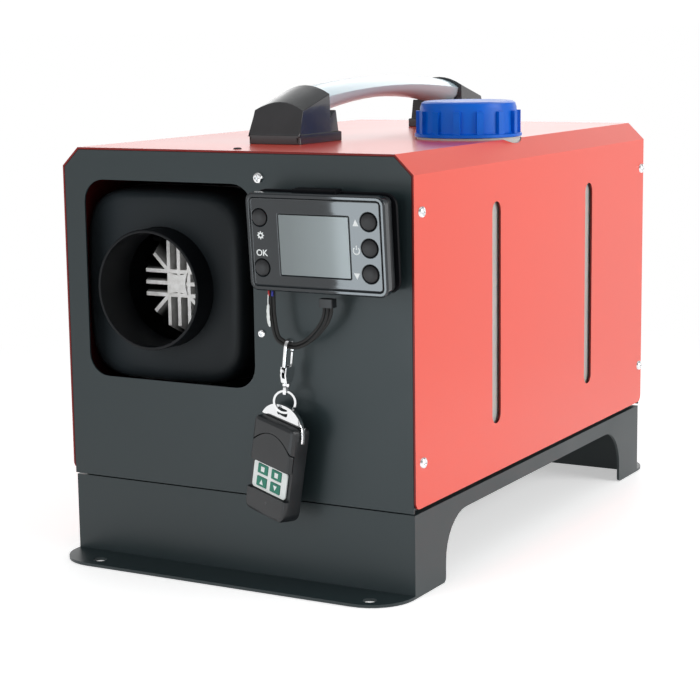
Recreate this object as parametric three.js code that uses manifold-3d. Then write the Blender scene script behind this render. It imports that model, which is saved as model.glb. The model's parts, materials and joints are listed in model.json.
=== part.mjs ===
// Portable diesel air heater: a folded steel cabinet on a raised base, with the air heater on the
// left, the fuel tank on the right, a controller on the front and its remote on a key ring.
// Millimetres. +X is right seen from the front, +Y points to the back, +Z is up.
// The origin is on the floor, under the middle of the cabinet.
import * as THREE from "three";
import { mergeVertices } from "three/addons/utils/BufferGeometryUtils.js";
import Module from "manifold-3d";

// ---------- Driving dimensions ----------
// Clearances
const FIT = 0.3; // between parts that meet in a cut or turned seat
const PIPE_CLEARANCE = 1; // round a pipe in a sheet hole

// Cabinet
const CABINET_WIDTH = 246;
const CABINET_DEPTH = 365.3;
const CABINET_TOP = 258.9;
const CABINET_BOTTOM = 53.5;
const CHAMFER_WIDTH = 11.85;
const CHAMFER_HEIGHT = 11.57;
const SHEET = 1.2;
const SHELL_CORNER_RADIUS = 5;
const PANEL_FLANGE = 15;
const PANEL_LIP = 2.2; // how far the panels' faces hang below the shell

// Fuel sight slots in the right wall
const SLOT_WIDTH = 12.4;
const SLOT_BOTTOM = 84.5;
const SLOT_TOP = 223.5;
const SLOT_FRONT_Y = -71.8;
const SLOT_REAR_Y = 77.9;

// Front opening round the warm air outlet
const OPENING_LEFT = -107.1;
const OPENING_RIGHT = 15.4;
const OPENING_BOTTOM = 116.1;
const OPENING_TOP = 239.3;
const OPENING_RADIUS = 14;

// Base: a top-hat plate between two skirts
const BASE_INSET = 1.4;
const BASE_SHEET = 1.8;
const BASE_TOP = 50.1;
const FOOT_FLANGE = 29.4;
const FOOT_CORNER_RADIUS = 27;
const FOOT_HOLE_RADIUS = 4.25;
const FOOT_HOLE_MIDDLE = 4.8;
const FOOT_HOLE_SPAN = 193;
const FOOT_HOLE_FROM_EDGE = 10.7;
const ARCH_FRONT = -141;
const ARCH_REAR = 144.5;
const ARCH_TOP = 40.3;
const ARCH_RADIUS = 28;
const LEG_CORNER_RADIUS = 3;
const PAN_SHEET = 1.5;
const PAN_INSET = 6;

// Sheet divider between the heater bay and the tank bay
const DIVIDER_X = 26;
const DIVIDER_FLANGE = 10.7;
const DIVIDER_HOLE_RADIUS = 5;

// Heater unit: everything is set out from its axis
const AXIS_X = -61.8;
const AXIS_Z = 172;
const COLLAR_RADIUS = 37.5;
const COLLAR_WALL = 2.1;
const COLLAR_BACK_Y = -152;
const COLLAR_BEAD = 1.5;
const CASE_HALF_WIDTH = 59;
const CASE_HALF_HEIGHT = 61;
const CASE_CORNER_RADIUS = 24;
const CASE_WALL = 2.5;
const CASE_FRONT_Y = -130;
const CASE_REAR_Y = 160;
const HOOD_FRONT_Y = -166;
const HOOD_SQUARENESS = 5;
const HOOD_SHOULDER = 0.5; // 1 is a round shoulder, less is a squarer one
const INTAKE_RADIUS = 40;
const GRILLE_RINGS = 4;
const GRILLE_SPOKES = 6;
const GRILLE_BAR = 2;

// Heat exchanger casting
const NOSE_Y = -149;
const NOSE_HALF = 7;
const NOSE_HOLLOW = 1.6;
const FIN_THICKNESS = 2.4;
const FIN_PITCH = 7.5;
const FIN_RADIUS = 50;
const FIN_START_SIDE = 25;
const FIN_START_TOP = 27;
const FIN_START_CORNER = 26;
const FIN_FLARE_Y = -114;
const CORE_RADIUS = 30;
const BORE_RADIUS = 22;
const BORE_FRONT_Y = -95;
const FLANGE_Y = 16;
const FLANGE_THICKNESS = 6;
const CUP_RADIUS = 40;
const CUP_WALL = 4;
const CUP_DEPTH = 22;
const FOOT_HALF_WIDTH = 26;
const FOOT_FRONT_Y = -60;

// Burner, blower and ducts
const BURNER_WALL = 2;
const BURNER_FRONT_Y = -70;
const BURNER_FLANGE = 2.7;
const SHAFT_RADIUS = 3;
const WHEEL_RADIUS = 32;
const WHEEL_VANES = 16;
const WHEEL_VANE_HEIGHT = 9;
const WHEEL_DISC = 2;
const MOTOR_PLATE = 4;
const MOTOR_RADIUS = 26;
const MOTOR_LENGTH = 52;
const FAN_HUB_RADIUS = 15;
const FAN_RADIUS = 50;
const FAN_DEPTH = 22;
const FAN_BLADES = 9;
const FAN_GAP = 6;
const FAN_BLADE_THICKNESS = 1.8;
const FAN_ROOT_PITCH = 50;
const FAN_TIP_PITCH = 28;
const GLOW_PLUG_Y = -10;
const GLOW_PLUG_RADIUS = 3;
const GLOW_PLUG_HEX = 6;
const CONTROL_BOX_WIDTH = 44;
const CONTROL_BOX_LENGTH = 40;
const CONTROL_BOX_HEIGHT = 12;
const EXHAUST_Y = -40;
const EXHAUST_RADIUS = 12;
const AIR_PIPE_Y = -2;
const AIR_PIPE_RADIUS = 10.5;
const PIPE_WALL = 1.2;
const PIPE_END_Z = 31;
const PIPE_BEAD = 1;
const STAND_HALF = 45;
const STAND_FOOT = 12;
const STAND_SHEET = 1.5;
const STAND_FRONT_Y = -64;
const STAND_REAR_Y = 42;

// Fuel system
const TANK_LEFT = 30;
const TANK_FROM_SIDE = 2.7;
const TANK_HALF_LENGTH = 165;
const TANK_HEADROOM = 8.9;
const TANK_RADIUS = 12;
const TANK_BEVEL = 6;
const TANK_WALL = 3;
const FILLER_FROM_SIDE = 43;
const FILLER_Y = -22;
const FILLER_HOLE_RADIUS = 34;
const BOSS_GAP = 0.6;
const NECK_RADIUS = 26.5;
const NECK_WALL = 3.5;
const CAP_STANDOFF = 1.4; // underside of the cap above the cabinet top
const CAP_HEIGHT = 22.4;
const CAP_RADIUS = 34.4;
const CAP_BODY_RADIUS = 31.3;
const CAP_WALL = 2.5;
const CAP_FLANGE = 1.8;
const CAP_RIBS = 14;
const CAP_RIB_WIDTH = 4.2;
const CAP_RIB_RADIUS = 33.5;
const CAP_RIB_HEIGHT = 16.3;
const GASKET_THICKNESS = 2;
const PUMP_Z = 80;
const PUMP_RADIUS = 14;
const PUMP_FRONT_Y = 52;
const PUMP_LENGTH = 66;
const PUMP_NIPPLE = 8;
const CLAMP_WALL = 4;
const CLAMP_LENGTH = 16;
const FILTER_Y = 140;
const FILTER_Z = 66;
const FILTER_RADIUS = 9;
const FILTER_LENGTH = 28;
const NIPPLE_RADIUS = 3;
const NIPPLE_LENGTH = 6;
const HOSE_RADIUS = 4;
const FUEL_STUB_X = -42;
const FUEL_STUB_Y = 10;
const FUEL_STUB_Z = 100;

// Carrying handle, along Y on the cabinet top
const HANDLE_X = -5;
const HANDLE_Y = 12;
const HANDLE_HALF_LENGTH = 134.9;
const SOCKET_FROM_MIDDLE = 95;
const SOCKET_DEPTH = 6;
const TOE_FROM_MIDDLE = 81;
const TOE_RISE = 19.3; // top of the toe over the cabinet top
const TOE_HALF_WIDTH = 16;
const PLINTH_HALF_WIDTH = 18.8;
const PLINTH_HEIGHT = 5.8;
const MOUNT_SIDE_WALL = 2.4;
const MOUNT_EAVE_RISE = 20.6; // of its outer end over the cabinet top
const MOUNT_CROWN_RISE = 25.8;
const MOUNT_EAVE_LIP = 2.2; // at its socket end, over the grip's crease
const MOUNT_CROWN_LIP = 1.7;
const MOUNT_LEAN = 8;
const GRIP_HALF_WIDTH = 15.2;
const GRIP_END_RISE = 33.7; // crown of the grip over the cabinet top, in its sockets
const GRIP_ARCH_RISE = 4.8;
const GRIP_END_DEPTH = 18.4;
const GRIP_MIDDLE_DEPTH = 14;
const GRIP_ARCH = 6;

// Controller, tilted with its top away from the panel
const CONTROLLER_FROM_SIDE = 51.5;
const CONTROLLER_Z = 208.4;
const CONTROLLER_OUT = 22.5; // middle of its face from the panel
const CONTROLLER_TILT = 4.7;
const CONTROLLER_WIDTH = 91;
const CONTROLLER_HEIGHT = 57.4;
const CONTROLLER_RADIUS = 5;
const BEZEL_DEPTH = 6;
const FACE_RECESS = 0.6;
const FACE_BORDER = 3;
const BACK_DEPTH = 6;
const BACK_INSET = 1.5;
const BRACKET_SHEET = 2.4;
const SCREEN_WIDTH = 46.2;
const SCREEN_HEIGHT = 35.6;
const SCREEN_X = -1.1;
const SCREEN_Z = -1.2;
const SCREEN_THICKNESS = 2;
const BUTTON_RADIUS = 4.8;
const BUTTON_HEIGHT = 1.8; // proud of the face
const BUTTON_GAP = 0.35;
const BUTTONS = [
  ["button_up", 34.8, 14.2],
  ["button_power", 34.8, -0.8],
  ["button_down", 34.6, -15.6],
  ["button_settings", -36.8, 14.2],
  ["button_ok", -36.8, -15.2],
];

// Controller cable: leaves the controller, hangs in a loop and returns to a plug on the bracket
const CABLE_RADIUS = 2.2;
const CABLE_Y = -196.5;
const CABLE_ROUTE = [
  [37.2, 179.3],
  [37.2, 175],
  [37.4, 165.2],
  [39.6, 153.3],
  [43.2, 149.6],
  [48.1, 147.8],
  [53.4, 147.6],
  [60.5, 150.6],
  [67.2, 156.4],
  [72, 162.6],
  [74, 168],
  [74.2, 171.2],
];
const PLUG_WIDTH = 9;
const PLUG_DEPTH = 6;
const PLUG_HEIGHT = 5;

// Key ring chain: hangs in a straight line from the cable, leaning to the left
const CHAIN_X = 48.1;
const CHAIN_Z = 147.7;
const CHAIN_LEAN = 6.4;
const HOOK_INNER = 3.2;
const HOOK_BAR = 1.7;
const HOOK_HALF_THICKNESS = 1;
const FORK_HALF_THICKNESS = 2;
const LEVER_HALF_THICKNESS = 0.6;
const LEVER_PIVOT_Z = -17.5;
const FORK_TOP = -12.5;
const FORK_BOTTOM = -22.5;
const GATE_TOP = -4.6;
const EYE_BAR = 1.3;
const EYE_HALF_WIDTH = 3.4;
const EYE_PLANE = 14; // turn of the eye and ring about the chain's line, in degrees
const RING_OUTER = 7.2;
const RING_WALL = 1.3;
const RING_WIDTH = 2;
const RING_DROP = 34.1;

// Remote
const REMOTE_DROP = 71.1;
const REMOTE_TURN = -19.6;
const REMOTE_LEAN = 2.3; // swing about the ring's middle
const REMOTE_HALF_WIDTH = 18.3;
const REMOTE_HALF_DEPTH = 7;
const REMOTE_BOTTOM = -33;
const REMOTE_TOP = 25.2;
const REMOTE_RADIUS = 6;
const REMOTE_TOP_RADIUS = 4;
const REMOTE_EDGE = 2.4;
const CHANNEL_Y = -3.6; // floor of the channel that the cover slides in
const CHIN_TOP = -19.4;
const COVER_BOTTOM = -1.8;
const COVER_SIDE_TOP = 8;
const COVER_CROWN = 17.5;
const COVER_THICKNESS = 1.7;
const KEYPAD_HALF_WIDTH = 15.5;
const KEYPAD_BOTTOM = -18.8;
const KEYPAD_TOP = -2.2;
const KEYPAD_THICKNESS = 0.8;
const KEY_WIDTH = 9;
const KEY_HEIGHT = 5.6;
const KEY_COLUMNS = [-6.9, 5.8];
const KEY_ROWS = [-6.4, -14.2];
const BOW_BOTTOM = 25.5;
const BOW_CROWN = 35;
const BOW_WALL = 1.8;
const BOW_ARM_BOTTOM = 16.8;
const BOW_HALF_THICKNESS = 1.3;
const BOW_WINDOW_WIDTH = 9.2;
const BOW_WINDOW_HEIGHT = 4.2;
const BOW_WINDOW_OVER_RING = 1.75; // clears the ring's curve in the bow's thickness

// ---------- Values worked out from the dimensions ----------
const DEG = Math.PI / 180;
const HALF_WIDTH = CABINET_WIDTH / 2;
const TANK_RIGHT = HALF_WIDTH - TANK_FROM_SIDE;
const TANK_TOP = CABINET_TOP - TANK_HEADROOM;
const FILLER_X = HALF_WIDTH - FILLER_FROM_SIDE;
const CONTROLLER_X = HALF_WIDTH - CONTROLLER_FROM_SIDE;
const FRONT_Y = -CABINET_DEPTH / 2;
const REAR_Y = CABINET_DEPTH / 2;
const BASE_HALF_WIDTH = HALF_WIDTH - BASE_INSET;
const BASE_FRONT_Y = FRONT_Y + BASE_INSET;
const CASE_BOTTOM = AXIS_Z - CASE_HALF_HEIGHT;
const CUP_REAR_Y = FLANGE_Y + FLANGE_THICKNESS + CUP_DEPTH - FIT;
const MOTOR_FRONT_Y = CUP_REAR_Y + FIT;
const MOTOR_REAR_Y = MOTOR_FRONT_Y + MOTOR_PLATE + MOTOR_LENGTH;
const FAN_FRONT_Y = MOTOR_REAR_Y + FAN_GAP;
const CAP_BOTTOM = CABINET_TOP + CAP_STANDOFF;
const CAP_TOP = CAP_BOTTOM + CAP_HEIGHT;
const GASKET_TOP = CAP_TOP - CAP_WALL - FIT;
const NECK_TOP = GASKET_TOP - GASKET_THICKNESS - FIT;
const GRIP_CROWN_END = CABINET_TOP + GRIP_END_RISE;
const MOUNT_EAVE_HALF_WIDTH = GRIP_HALF_WIDTH + MOUNT_SIDE_WALL;
const MOUNT_EAVE_INNER = GRIP_CROWN_END - GRIP_ARCH + MOUNT_EAVE_LIP;
const MOUNT_CROWN_INNER = GRIP_CROWN_END + MOUNT_CROWN_LIP;

// ---------- Solid helpers ----------
const wasm = await Module();
wasm.setup();

// A closed geometry as a solid that can be joined and cut.
function solidOf(geometry) {
  const bare = geometry.clone();
  bare.deleteAttribute("normal");
  bare.deleteAttribute("uv");
  const merged = mergeVertices(bare, 1e-4);
  const mesh = new wasm.Mesh({
    numProp: 3,
    vertProperties: merged.getAttribute("position").array,
    triVerts: new Uint32Array(merged.index.array),
  });
  return new wasm.Manifold(mesh);
}

function geometryOf(solid) {
  const mesh = solid.getMesh();
  const geometry = new THREE.BufferGeometry();
  geometry.setAttribute("position", new THREE.BufferAttribute(mesh.vertProperties, 3));
  geometry.setIndex(new THREE.BufferAttribute(mesh.triVerts, 1));
  return geometry;
}

function join(first, ...others) {
  const joined = others.reduce((body, other) => body.add(solidOf(other)), solidOf(first));
  return geometryOf(joined);
}

function cut(first, ...tools) {
  const left = tools.reduce((body, tool) => body.subtract(solidOf(tool)), solidOf(first));
  return geometryOf(left);
}

function common(first, second) {
  return geometryOf(solidOf(first).intersect(solidOf(second)));
}

// ---------- Shape helpers ----------
function polygon(points) {
  return new THREE.Shape(points.map(([a, b]) => new THREE.Vector2(a, b)));
}

function roundedRect(left, bottom, right, top, radius) {
  const shape = new THREE.Shape();
  shape.moveTo(left + radius, bottom);
  shape.absarc(right - radius, bottom + radius, radius, -Math.PI / 2, 0);
  shape.absarc(right - radius, top - radius, radius, 0, Math.PI / 2);
  shape.absarc(left + radius, top - radius, radius, Math.PI / 2, Math.PI);
  shape.absarc(left + radius, bottom + radius, radius, Math.PI, 1.5 * Math.PI);
  return shape;
}

// A shape pulled from 0 to length along its own Z, with its edges rounded by bevel.
function pull(shape, length, { bevel = 0, arc = 3, bevelSegments = 2 } = {}) {
  const geometry = new THREE.ExtrudeGeometry(shape, {
    depth: length - 2 * bevel,
    bevelEnabled: bevel > 0,
    bevelThickness: bevel,
    bevelSize: bevel,
    bevelOffset: -bevel,
    bevelSegments,
    curveSegments: arc,
  });
  return geometry.translate(0, 0, bevel);
}

const AXES = {
  x: new THREE.Vector3(1, 0, 0),
  y: new THREE.Vector3(0, 1, 0),
  z: new THREE.Vector3(0, 0, 1),
  back: new THREE.Vector3(0, -1, 0),
};

// A shape drawn in (y, z), pulled from x0 to x1.
function pullX(shape, x0, x1, options) {
  const turn = new THREE.Matrix4().makeBasis(AXES.y, AXES.z, AXES.x);
  return pull(shape, x1 - x0, options).applyMatrix4(turn).translate(x0, 0, 0);
}

// A shape drawn in (x, z), pulled from y0 to y1.
function pullY(shape, y0, y1, options) {
  const turn = new THREE.Matrix4().makeBasis(AXES.x, AXES.z, AXES.back);
  return pull(shape, y1 - y0, options).applyMatrix4(turn).translate(0, y1, 0);
}

// A shape drawn in (x, y), pulled from z0 to z1.
function pullZ(shape, z0, z1, options) {
  return pull(shape, z1 - z0, options).translate(0, 0, z0);
}

function block(x0, x1, y0, y1, z0, z1) {
  const box = new THREE.BoxGeometry(x1 - x0, y1 - y0, z1 - z0);
  return box.translate((x0 + x1) / 2, (y0 + y1) / 2, (z0 + z1) / 2);
}

function rodX(radius, x0, x1, y, z, sides = 24) {
  const rod = new THREE.CylinderGeometry(radius, radius, x1 - x0, sides).rotateZ(Math.PI / 2);
  return rod.translate((x0 + x1) / 2, y, z);
}

function rodY(radius, y0, y1, x, z, sides = 24) {
  const rod = new THREE.CylinderGeometry(radius, radius, y1 - y0, sides);
  return rod.translate(x, (y0 + y1) / 2, z);
}

function rodZ(radius, z0, z1, x, y, sides = 24) {
  const rod = new THREE.CylinderGeometry(radius, radius, z1 - z0, sides).rotateX(Math.PI / 2);
  return rod.translate(x, y, (z0 + z1) / 2);
}

// A profile of [radius, height] points turned about the Y axis, always facing out.
function revolve(profile, sides) {
  const points = profile.map(([radius, height]) => new THREE.Vector2(radius, height));
  if (THREE.ShapeUtils.area(points) < 0) points.reverse();
  return new THREE.LatheGeometry(points, sides);
}

function revolveY(profile, x, z, sides = 32) {
  return revolve(profile, sides).translate(x, 0, z);
}

function revolveZ(profile, x, y, sides = 32) {
  return revolve(profile, sides).rotateX(Math.PI / 2).translate(x, y, 0);
}

// A closed ring profile between two radii and two heights.
function ringProfile(inner, outer, low, high) {
  return [
    [inner, low],
    [outer, low],
    [outer, high],
    [inner, high],
    [inner, low],
  ];
}

// A closed skin over rings of points, with a fan over each end.
function loft(rings) {
  const count = rings[0].length;
  const vertices = rings.flat();
  const faces = [];
  for (let ring = 0; ring + 1 < rings.length; ring++) {
    for (let i = 0; i < count; i++) {
      const a = ring * count + i;
      const b = ring * count + ((i + 1) % count);
      faces.push(a, b, b + count, a, b + count, a + count);
    }
  }
  const ends = [rings[0], rings[rings.length - 1]];
  ends.forEach((ring, end) => {
    const middle = new THREE.Vector3();
    ring.forEach((point) => middle.addScaledVector(point, 1 / count));
    const centre = vertices.push(middle) - 1;
    const start = end === 0 ? 0 : (rings.length - 1) * count;
    for (let i = 0; i < count; i++) {
      const a = start + i;
      const b = start + ((i + 1) % count);
      faces.push(...(end === 0 ? [centre, b, a] : [centre, a, b]));
    }
  });
  const volume = faces.reduce((sum, _, i) => {
    if (i % 3) return sum;
    const [a, b, c] = [vertices[faces[i]], vertices[faces[i + 1]], vertices[faces[i + 2]]];
    return sum + a.dot(b.clone().cross(c));
  }, 0);
  if (volume < 0) faces.reverse();
  const geometry = new THREE.BufferGeometry().setFromPoints(vertices);
  geometry.setIndex(faces);
  return geometry;
}

function tubeAlong(points, radius, steps, sides = 8) {
  const section = new THREE.Shape();
  for (let i = 0; i < sides; i++) {
    const angle = (i / sides) * 2 * Math.PI;
    const corner = [radius * Math.cos(angle), radius * Math.sin(angle)];
    if (i) section.lineTo(...corner);
    else section.moveTo(...corner);
  }
  const path = new THREE.CatmullRomCurve3(points.map((point) => new THREE.Vector3(...point)));
  return new THREE.ExtrudeGeometry(section, { steps, extrudePath: path, curveSegments: 1 });
}

// ---------- Finishes ----------
function finish(color, roughness, metalness) {
  return new THREE.MeshStandardMaterial({ color, roughness, metalness });
}

const RED_PAINT = finish(0xd8201f, 0.35, 0.1);
const BLACK_PAINT = finish(0x3d4345, 0.5, 0.1);
const BLACK_PLASTIC = finish(0x1d2022, 0.45, 0);
const GLOSS_PLASTIC = finish(0x24282b, 0.15, 0);
const RUBBER = finish(0x151515, 0.8, 0);
const GREY_PLASTIC = finish(0xb9c0cc, 0.35, 0);
const MILK_PLASTIC = finish(0xe9e9e4, 0.5, 0);
const BLUE_PLASTIC = finish(0x1f57c0, 0.35, 0);
const CAST_ALUMINIUM = finish(0xc9c9c4, 0.55, 0.8);
const STEEL = finish(0xb8babd, 0.35, 1);
const CHROME = finish(0xe8eaec, 0.08, 1);
const WHITE_PLASTIC = finish(0xf2f4f4, 0.4, 0);
const GREEN_PLASTIC = finish(0x0f8a6e, 0.4, 0);
const SCREEN = finish(0x8f9897, 0.2, 0);

const heater = new THREE.Group();

function add(name, geometry, material, group = heater) {
  const mesh = new THREE.Mesh(geometry, material);
  mesh.name = name;
  group.add(mesh);
  return mesh;
}

// ---------- Cabinet ----------
// The cabinet's section in (x, z), with both top corners cut off, moved in by inset.
function cabinetSection(inset, bottom) {
  const slope = Math.hypot(CHAMFER_WIDTH, CHAMFER_HEIGHT);
  const side = HALF_WIDTH - inset;
  const top = CABINET_TOP - inset;
  const cornerZ = CABINET_TOP - CHAMFER_HEIGHT - (inset * (slope - CHAMFER_HEIGHT)) / CHAMFER_WIDTH;
  const cornerX = HALF_WIDTH - CHAMFER_WIDTH - (inset * (slope - CHAMFER_WIDTH)) / CHAMFER_HEIGHT;
  return polygon([
    [-side, bottom],
    [side, bottom],
    [side, cornerZ],
    [cornerX, top],
    [-cornerX, top],
    [-side, cornerZ],
  ]);
}

function sightSlot(y) {
  const half = SLOT_WIDTH / 2;
  const slot = roundedRect(y - half, SLOT_BOTTOM, y + half, SLOT_TOP, half - 0.01);
  return pullX(slot, HALF_WIDTH - 4 * SHEET, HALF_WIDTH + SHEET);
}

function makeShell() {
  const radius = SHELL_CORNER_RADIUS;
  const side = new THREE.Shape();
  side.moveTo(REAR_Y, CABINET_TOP);
  side.lineTo(FRONT_Y, CABINET_TOP);
  side.absarc(FRONT_Y + radius, CABINET_BOTTOM + radius, radius, Math.PI, 1.5 * Math.PI);
  side.absarc(REAR_Y - radius, CABINET_BOTTOM + radius, radius, 1.5 * Math.PI, 2 * Math.PI);
  const outer = pullY(cabinetSection(0, CABINET_BOTTOM), FRONT_Y, REAR_Y);
  const inner = pullY(cabinetSection(SHEET, CABINET_BOTTOM - SHEET), FRONT_Y - SHEET, REAR_Y + SHEET);
  const wrap = common(cut(outer, inner), pullX(side, -HALF_WIDTH, HALF_WIDTH));
  const hole = rodZ(FILLER_HOLE_RADIUS, TANK_TOP, CAP_BOTTOM, FILLER_X, FILLER_Y, 40);
  return cut(wrap, sightSlot(SLOT_FRONT_Y), sightSlot(SLOT_REAR_Y), hole);
}

// A panel is a shallow tray whose flanges lie inside the shell. Its face is at y, flanges along way.
function makePanel(y, way, openings) {
  const order = (a, b) => [Math.min(a, b), Math.max(a, b)];
  const inset = SHEET + FIT;
  const outer = cabinetSection(inset, CABINET_BOTTOM);
  const inner = cabinetSection(inset + SHEET, CABINET_BOTTOM + SHEET);
  const tray = pullY(outer, ...order(y, y + way * PANEL_FLANGE));
  const half = HALF_WIDTH - inset;
  const face = order(y, y + way * SHEET);
  const lip = block(-half, half, ...face, CABINET_BOTTOM - PANEL_LIP, CABINET_BOTTOM + SHEET);
  const hollow = pullY(inner, ...order(y + way * SHEET, y + way * (PANEL_FLANGE + SHEET)));
  return cut(join(tray, lip), hollow, ...openings);
}

function makeDivider() {
  const low = CABINET_BOTTOM + SHEET + FIT;
  const high = CABINET_TOP - 2 * (SHEET + FIT) - SHEET;
  const front = FRONT_Y + SHEET;
  const rear = REAR_Y - SHEET;
  const profile = polygon([
    [DIVIDER_X + SHEET, front],
    [DIVIDER_X + SHEET, rear],
    [DIVIDER_X + SHEET - DIVIDER_FLANGE, rear],
    [DIVIDER_X + SHEET - DIVIDER_FLANGE, rear - SHEET],
    [DIVIDER_X, rear - SHEET],
    [DIVIDER_X, front + SHEET],
    [DIVIDER_X + SHEET - DIVIDER_FLANGE, front + SHEET],
    [DIVIDER_X + SHEET - DIVIDER_FLANGE, front],
  ]);
  const hole = rodX(DIVIDER_HOLE_RADIUS, DIVIDER_X - SHEET, DIVIDER_X + 2 * SHEET, FILTER_Y, FILTER_Z);
  return cut(pullZ(profile, low, high), hole);
}

// The intake grille: a duct to the heater case, closed at the back by rings and spokes.
function makeGrille() {
  const outer = INTAKE_RADIUS - FIT;
  const duct = revolveY(ringProfile(outer - GRILLE_BAR, outer, CASE_REAR_Y, REAR_Y), AXIS_X, AXIS_Z, 40);
  const rim = revolveY(
    ringProfile(outer - GRILLE_BAR, outer + 2 * GRILLE_BAR, REAR_Y, REAR_Y + GRILLE_BAR),
    AXIS_X,
    AXIS_Z,
    40,
  );
  const pieces = [rim];
  const step = outer / (GRILLE_RINGS + 1);
  for (let ring = 1; ring <= GRILLE_RINGS; ring++) {
    const radius = ring * step;
    const profile = ringProfile(radius - GRILLE_BAR / 2, radius + GRILLE_BAR / 2, REAR_Y, REAR_Y + GRILLE_BAR);
    pieces.push(revolveY(profile, AXIS_X, AXIS_Z, 24));
  }
  for (let spoke = 0; spoke < GRILLE_SPOKES / 2; spoke++) {
    const bar = block(-outer, outer, REAR_Y, REAR_Y + GRILLE_BAR, -GRILLE_BAR / 2, GRILLE_BAR / 2);
    bar.rotateY((spoke * 2 * Math.PI) / GRILLE_SPOKES);
    pieces.push(bar.translate(AXIS_X, 0, AXIS_Z));
  }
  return join(duct, ...pieces);
}

function makeCabinet() {
  const opening = roundedRect(OPENING_LEFT, OPENING_BOTTOM, OPENING_RIGHT, OPENING_TOP, OPENING_RADIUS);
  const outletHole = pullY(opening, FRONT_Y - SHEET, FRONT_Y + 2 * SHEET);
  const intakeHole = rodY(INTAKE_RADIUS, REAR_Y - 2 * SHEET, REAR_Y + SHEET, AXIS_X, AXIS_Z, 40);
  add("outer_shell", makeShell(), RED_PAINT);
  add("front_panel", makePanel(FRONT_Y, 1, [outletHole]), BLACK_PAINT);
  add("rear_panel", makePanel(REAR_Y, -1, [intakeHole]), BLACK_PAINT);
  add("bay_divider", makeDivider(), STEEL);
  add("intake_grille", makeGrille(), BLACK_PLASTIC);
}

// ---------- Base ----------
// Holes round the exhaust and combustion air pipes, through a sheet from z0 to z1.
function pipeHoles(z0, z1) {
  return [
    rodZ(EXHAUST_RADIUS + PIPE_CLEARANCE, z0, z1, AXIS_X, EXHAUST_Y),
    rodZ(AIR_PIPE_RADIUS + PIPE_CLEARANCE, z0, z1, AXIS_X, AIR_PIPE_Y),
  ];
}

// A fixing flange on the floor, rounded at its outer corners. Its bolt holes lie beside middle.
function makeFootFlange(middle) {
  const edge = BASE_FRONT_Y - FOOT_FLANGE;
  const inner = BASE_FRONT_Y + BASE_SHEET;
  const radius = FOOT_CORNER_RADIUS;
  const shape = new THREE.Shape();
  shape.moveTo(BASE_HALF_WIDTH, inner);
  shape.lineTo(-BASE_HALF_WIDTH, inner);
  shape.absarc(-BASE_HALF_WIDTH + radius, edge + radius, radius, Math.PI, 1.5 * Math.PI);
  shape.absarc(BASE_HALF_WIDTH - radius, edge + radius, radius, 1.5 * Math.PI, 2 * Math.PI);
  const holes = [-0.5, 0.5].map((side) => {
    const x = middle + side * FOOT_HOLE_SPAN;
    return rodZ(FOOT_HOLE_RADIUS, -1, BASE_SHEET + 1, x, edge + FOOT_HOLE_FROM_EDGE, 16);
  });
  return cut(pullZ(shape, 0, BASE_SHEET, { arc: 4 }), ...holes);
}

function makeBaseFrame() {
  const inner = BASE_FRONT_Y + BASE_SHEET;
  const hat = polygon([
    [BASE_FRONT_Y, 0],
    [inner, 0],
    [inner, BASE_TOP - BASE_SHEET],
    [-inner, BASE_TOP - BASE_SHEET],
    [-inner, 0],
    [-BASE_FRONT_Y, 0],
    [-BASE_FRONT_Y, BASE_TOP],
    [BASE_FRONT_Y, BASE_TOP],
  ]);
  const edges = [-1, 1].map((side) => {
    const bounds = [BASE_HALF_WIDTH - BASE_SHEET, BASE_HALF_WIDTH + 1].map((x) => side * x);
    return block(Math.min(...bounds), Math.max(...bounds), inner, -inner, 0, BASE_TOP + 1);
  });
  const body = cut(pullX(hat, -BASE_HALF_WIDTH, BASE_HALF_WIDTH), ...edges);
  const front = makeFootFlange(FOOT_HOLE_MIDDLE);
  const rear = makeFootFlange(-FOOT_HOLE_MIDDLE).rotateZ(Math.PI);
  const frame = join(body, front, rear);
  return cut(frame, ...pipeHoles(BASE_TOP - 2 * BASE_SHEET, BASE_TOP + 1));
}

// A side skirt drawn in (y, z): two legs with an arch between them.
function makeSkirt(side) {
  const end = -(BASE_FRONT_Y + BASE_SHEET);
  const foot = LEG_CORNER_RADIUS;
  const spring = ARCH_TOP - ARCH_RADIUS;
  const shape = new THREE.Shape();
  shape.moveTo(-end, BASE_TOP);
  shape.lineTo(-end, 0);
  shape.absarc(ARCH_FRONT - foot, foot, foot, -Math.PI / 2, 0);
  shape.absarc(ARCH_FRONT + ARCH_RADIUS, spring, ARCH_RADIUS, Math.PI, Math.PI / 2, true);
  shape.absarc(ARCH_REAR - ARCH_RADIUS, spring, ARCH_RADIUS, Math.PI / 2, 0, true);
  shape.absarc(ARCH_REAR + foot, foot, foot, Math.PI, 1.5 * Math.PI);
  shape.lineTo(end, 0);
  shape.lineTo(end, BASE_TOP);
  const faces = [BASE_HALF_WIDTH - BASE_SHEET, BASE_HALF_WIDTH].map((x) => side * x);
  return pullX(shape, Math.min(...faces), Math.max(...faces), { arc: 4 });
}

// The floor pan lifts the cabinet off the base and leaves a shadow gap round it.
function makeFloorPan() {
  const halfX = HALF_WIDTH - PAN_INSET;
  const halfY = REAR_Y - PAN_INSET;
  const wall = PAN_SHEET;
  const outer = block(-halfX, halfX, -halfY, halfY, BASE_TOP, CABINET_BOTTOM);
  const under = block(
    -halfX + wall,
    halfX - wall,
    -halfY + wall,
    halfY - wall,
    BASE_TOP - 1,
    CABINET_BOTTOM - wall,
  );
  return cut(outer, under, ...pipeHoles(BASE_TOP, CABINET_BOTTOM + 1));
}

function makeBase() {
  add("base_frame", makeBaseFrame(), BLACK_PAINT);
  add("base_skirt_left", makeSkirt(-1), BLACK_PAINT);
  add("base_skirt_right", makeSkirt(1), BLACK_PAINT);
  add("floor_pan", makeFloorPan(), BLACK_PAINT);
}

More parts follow.
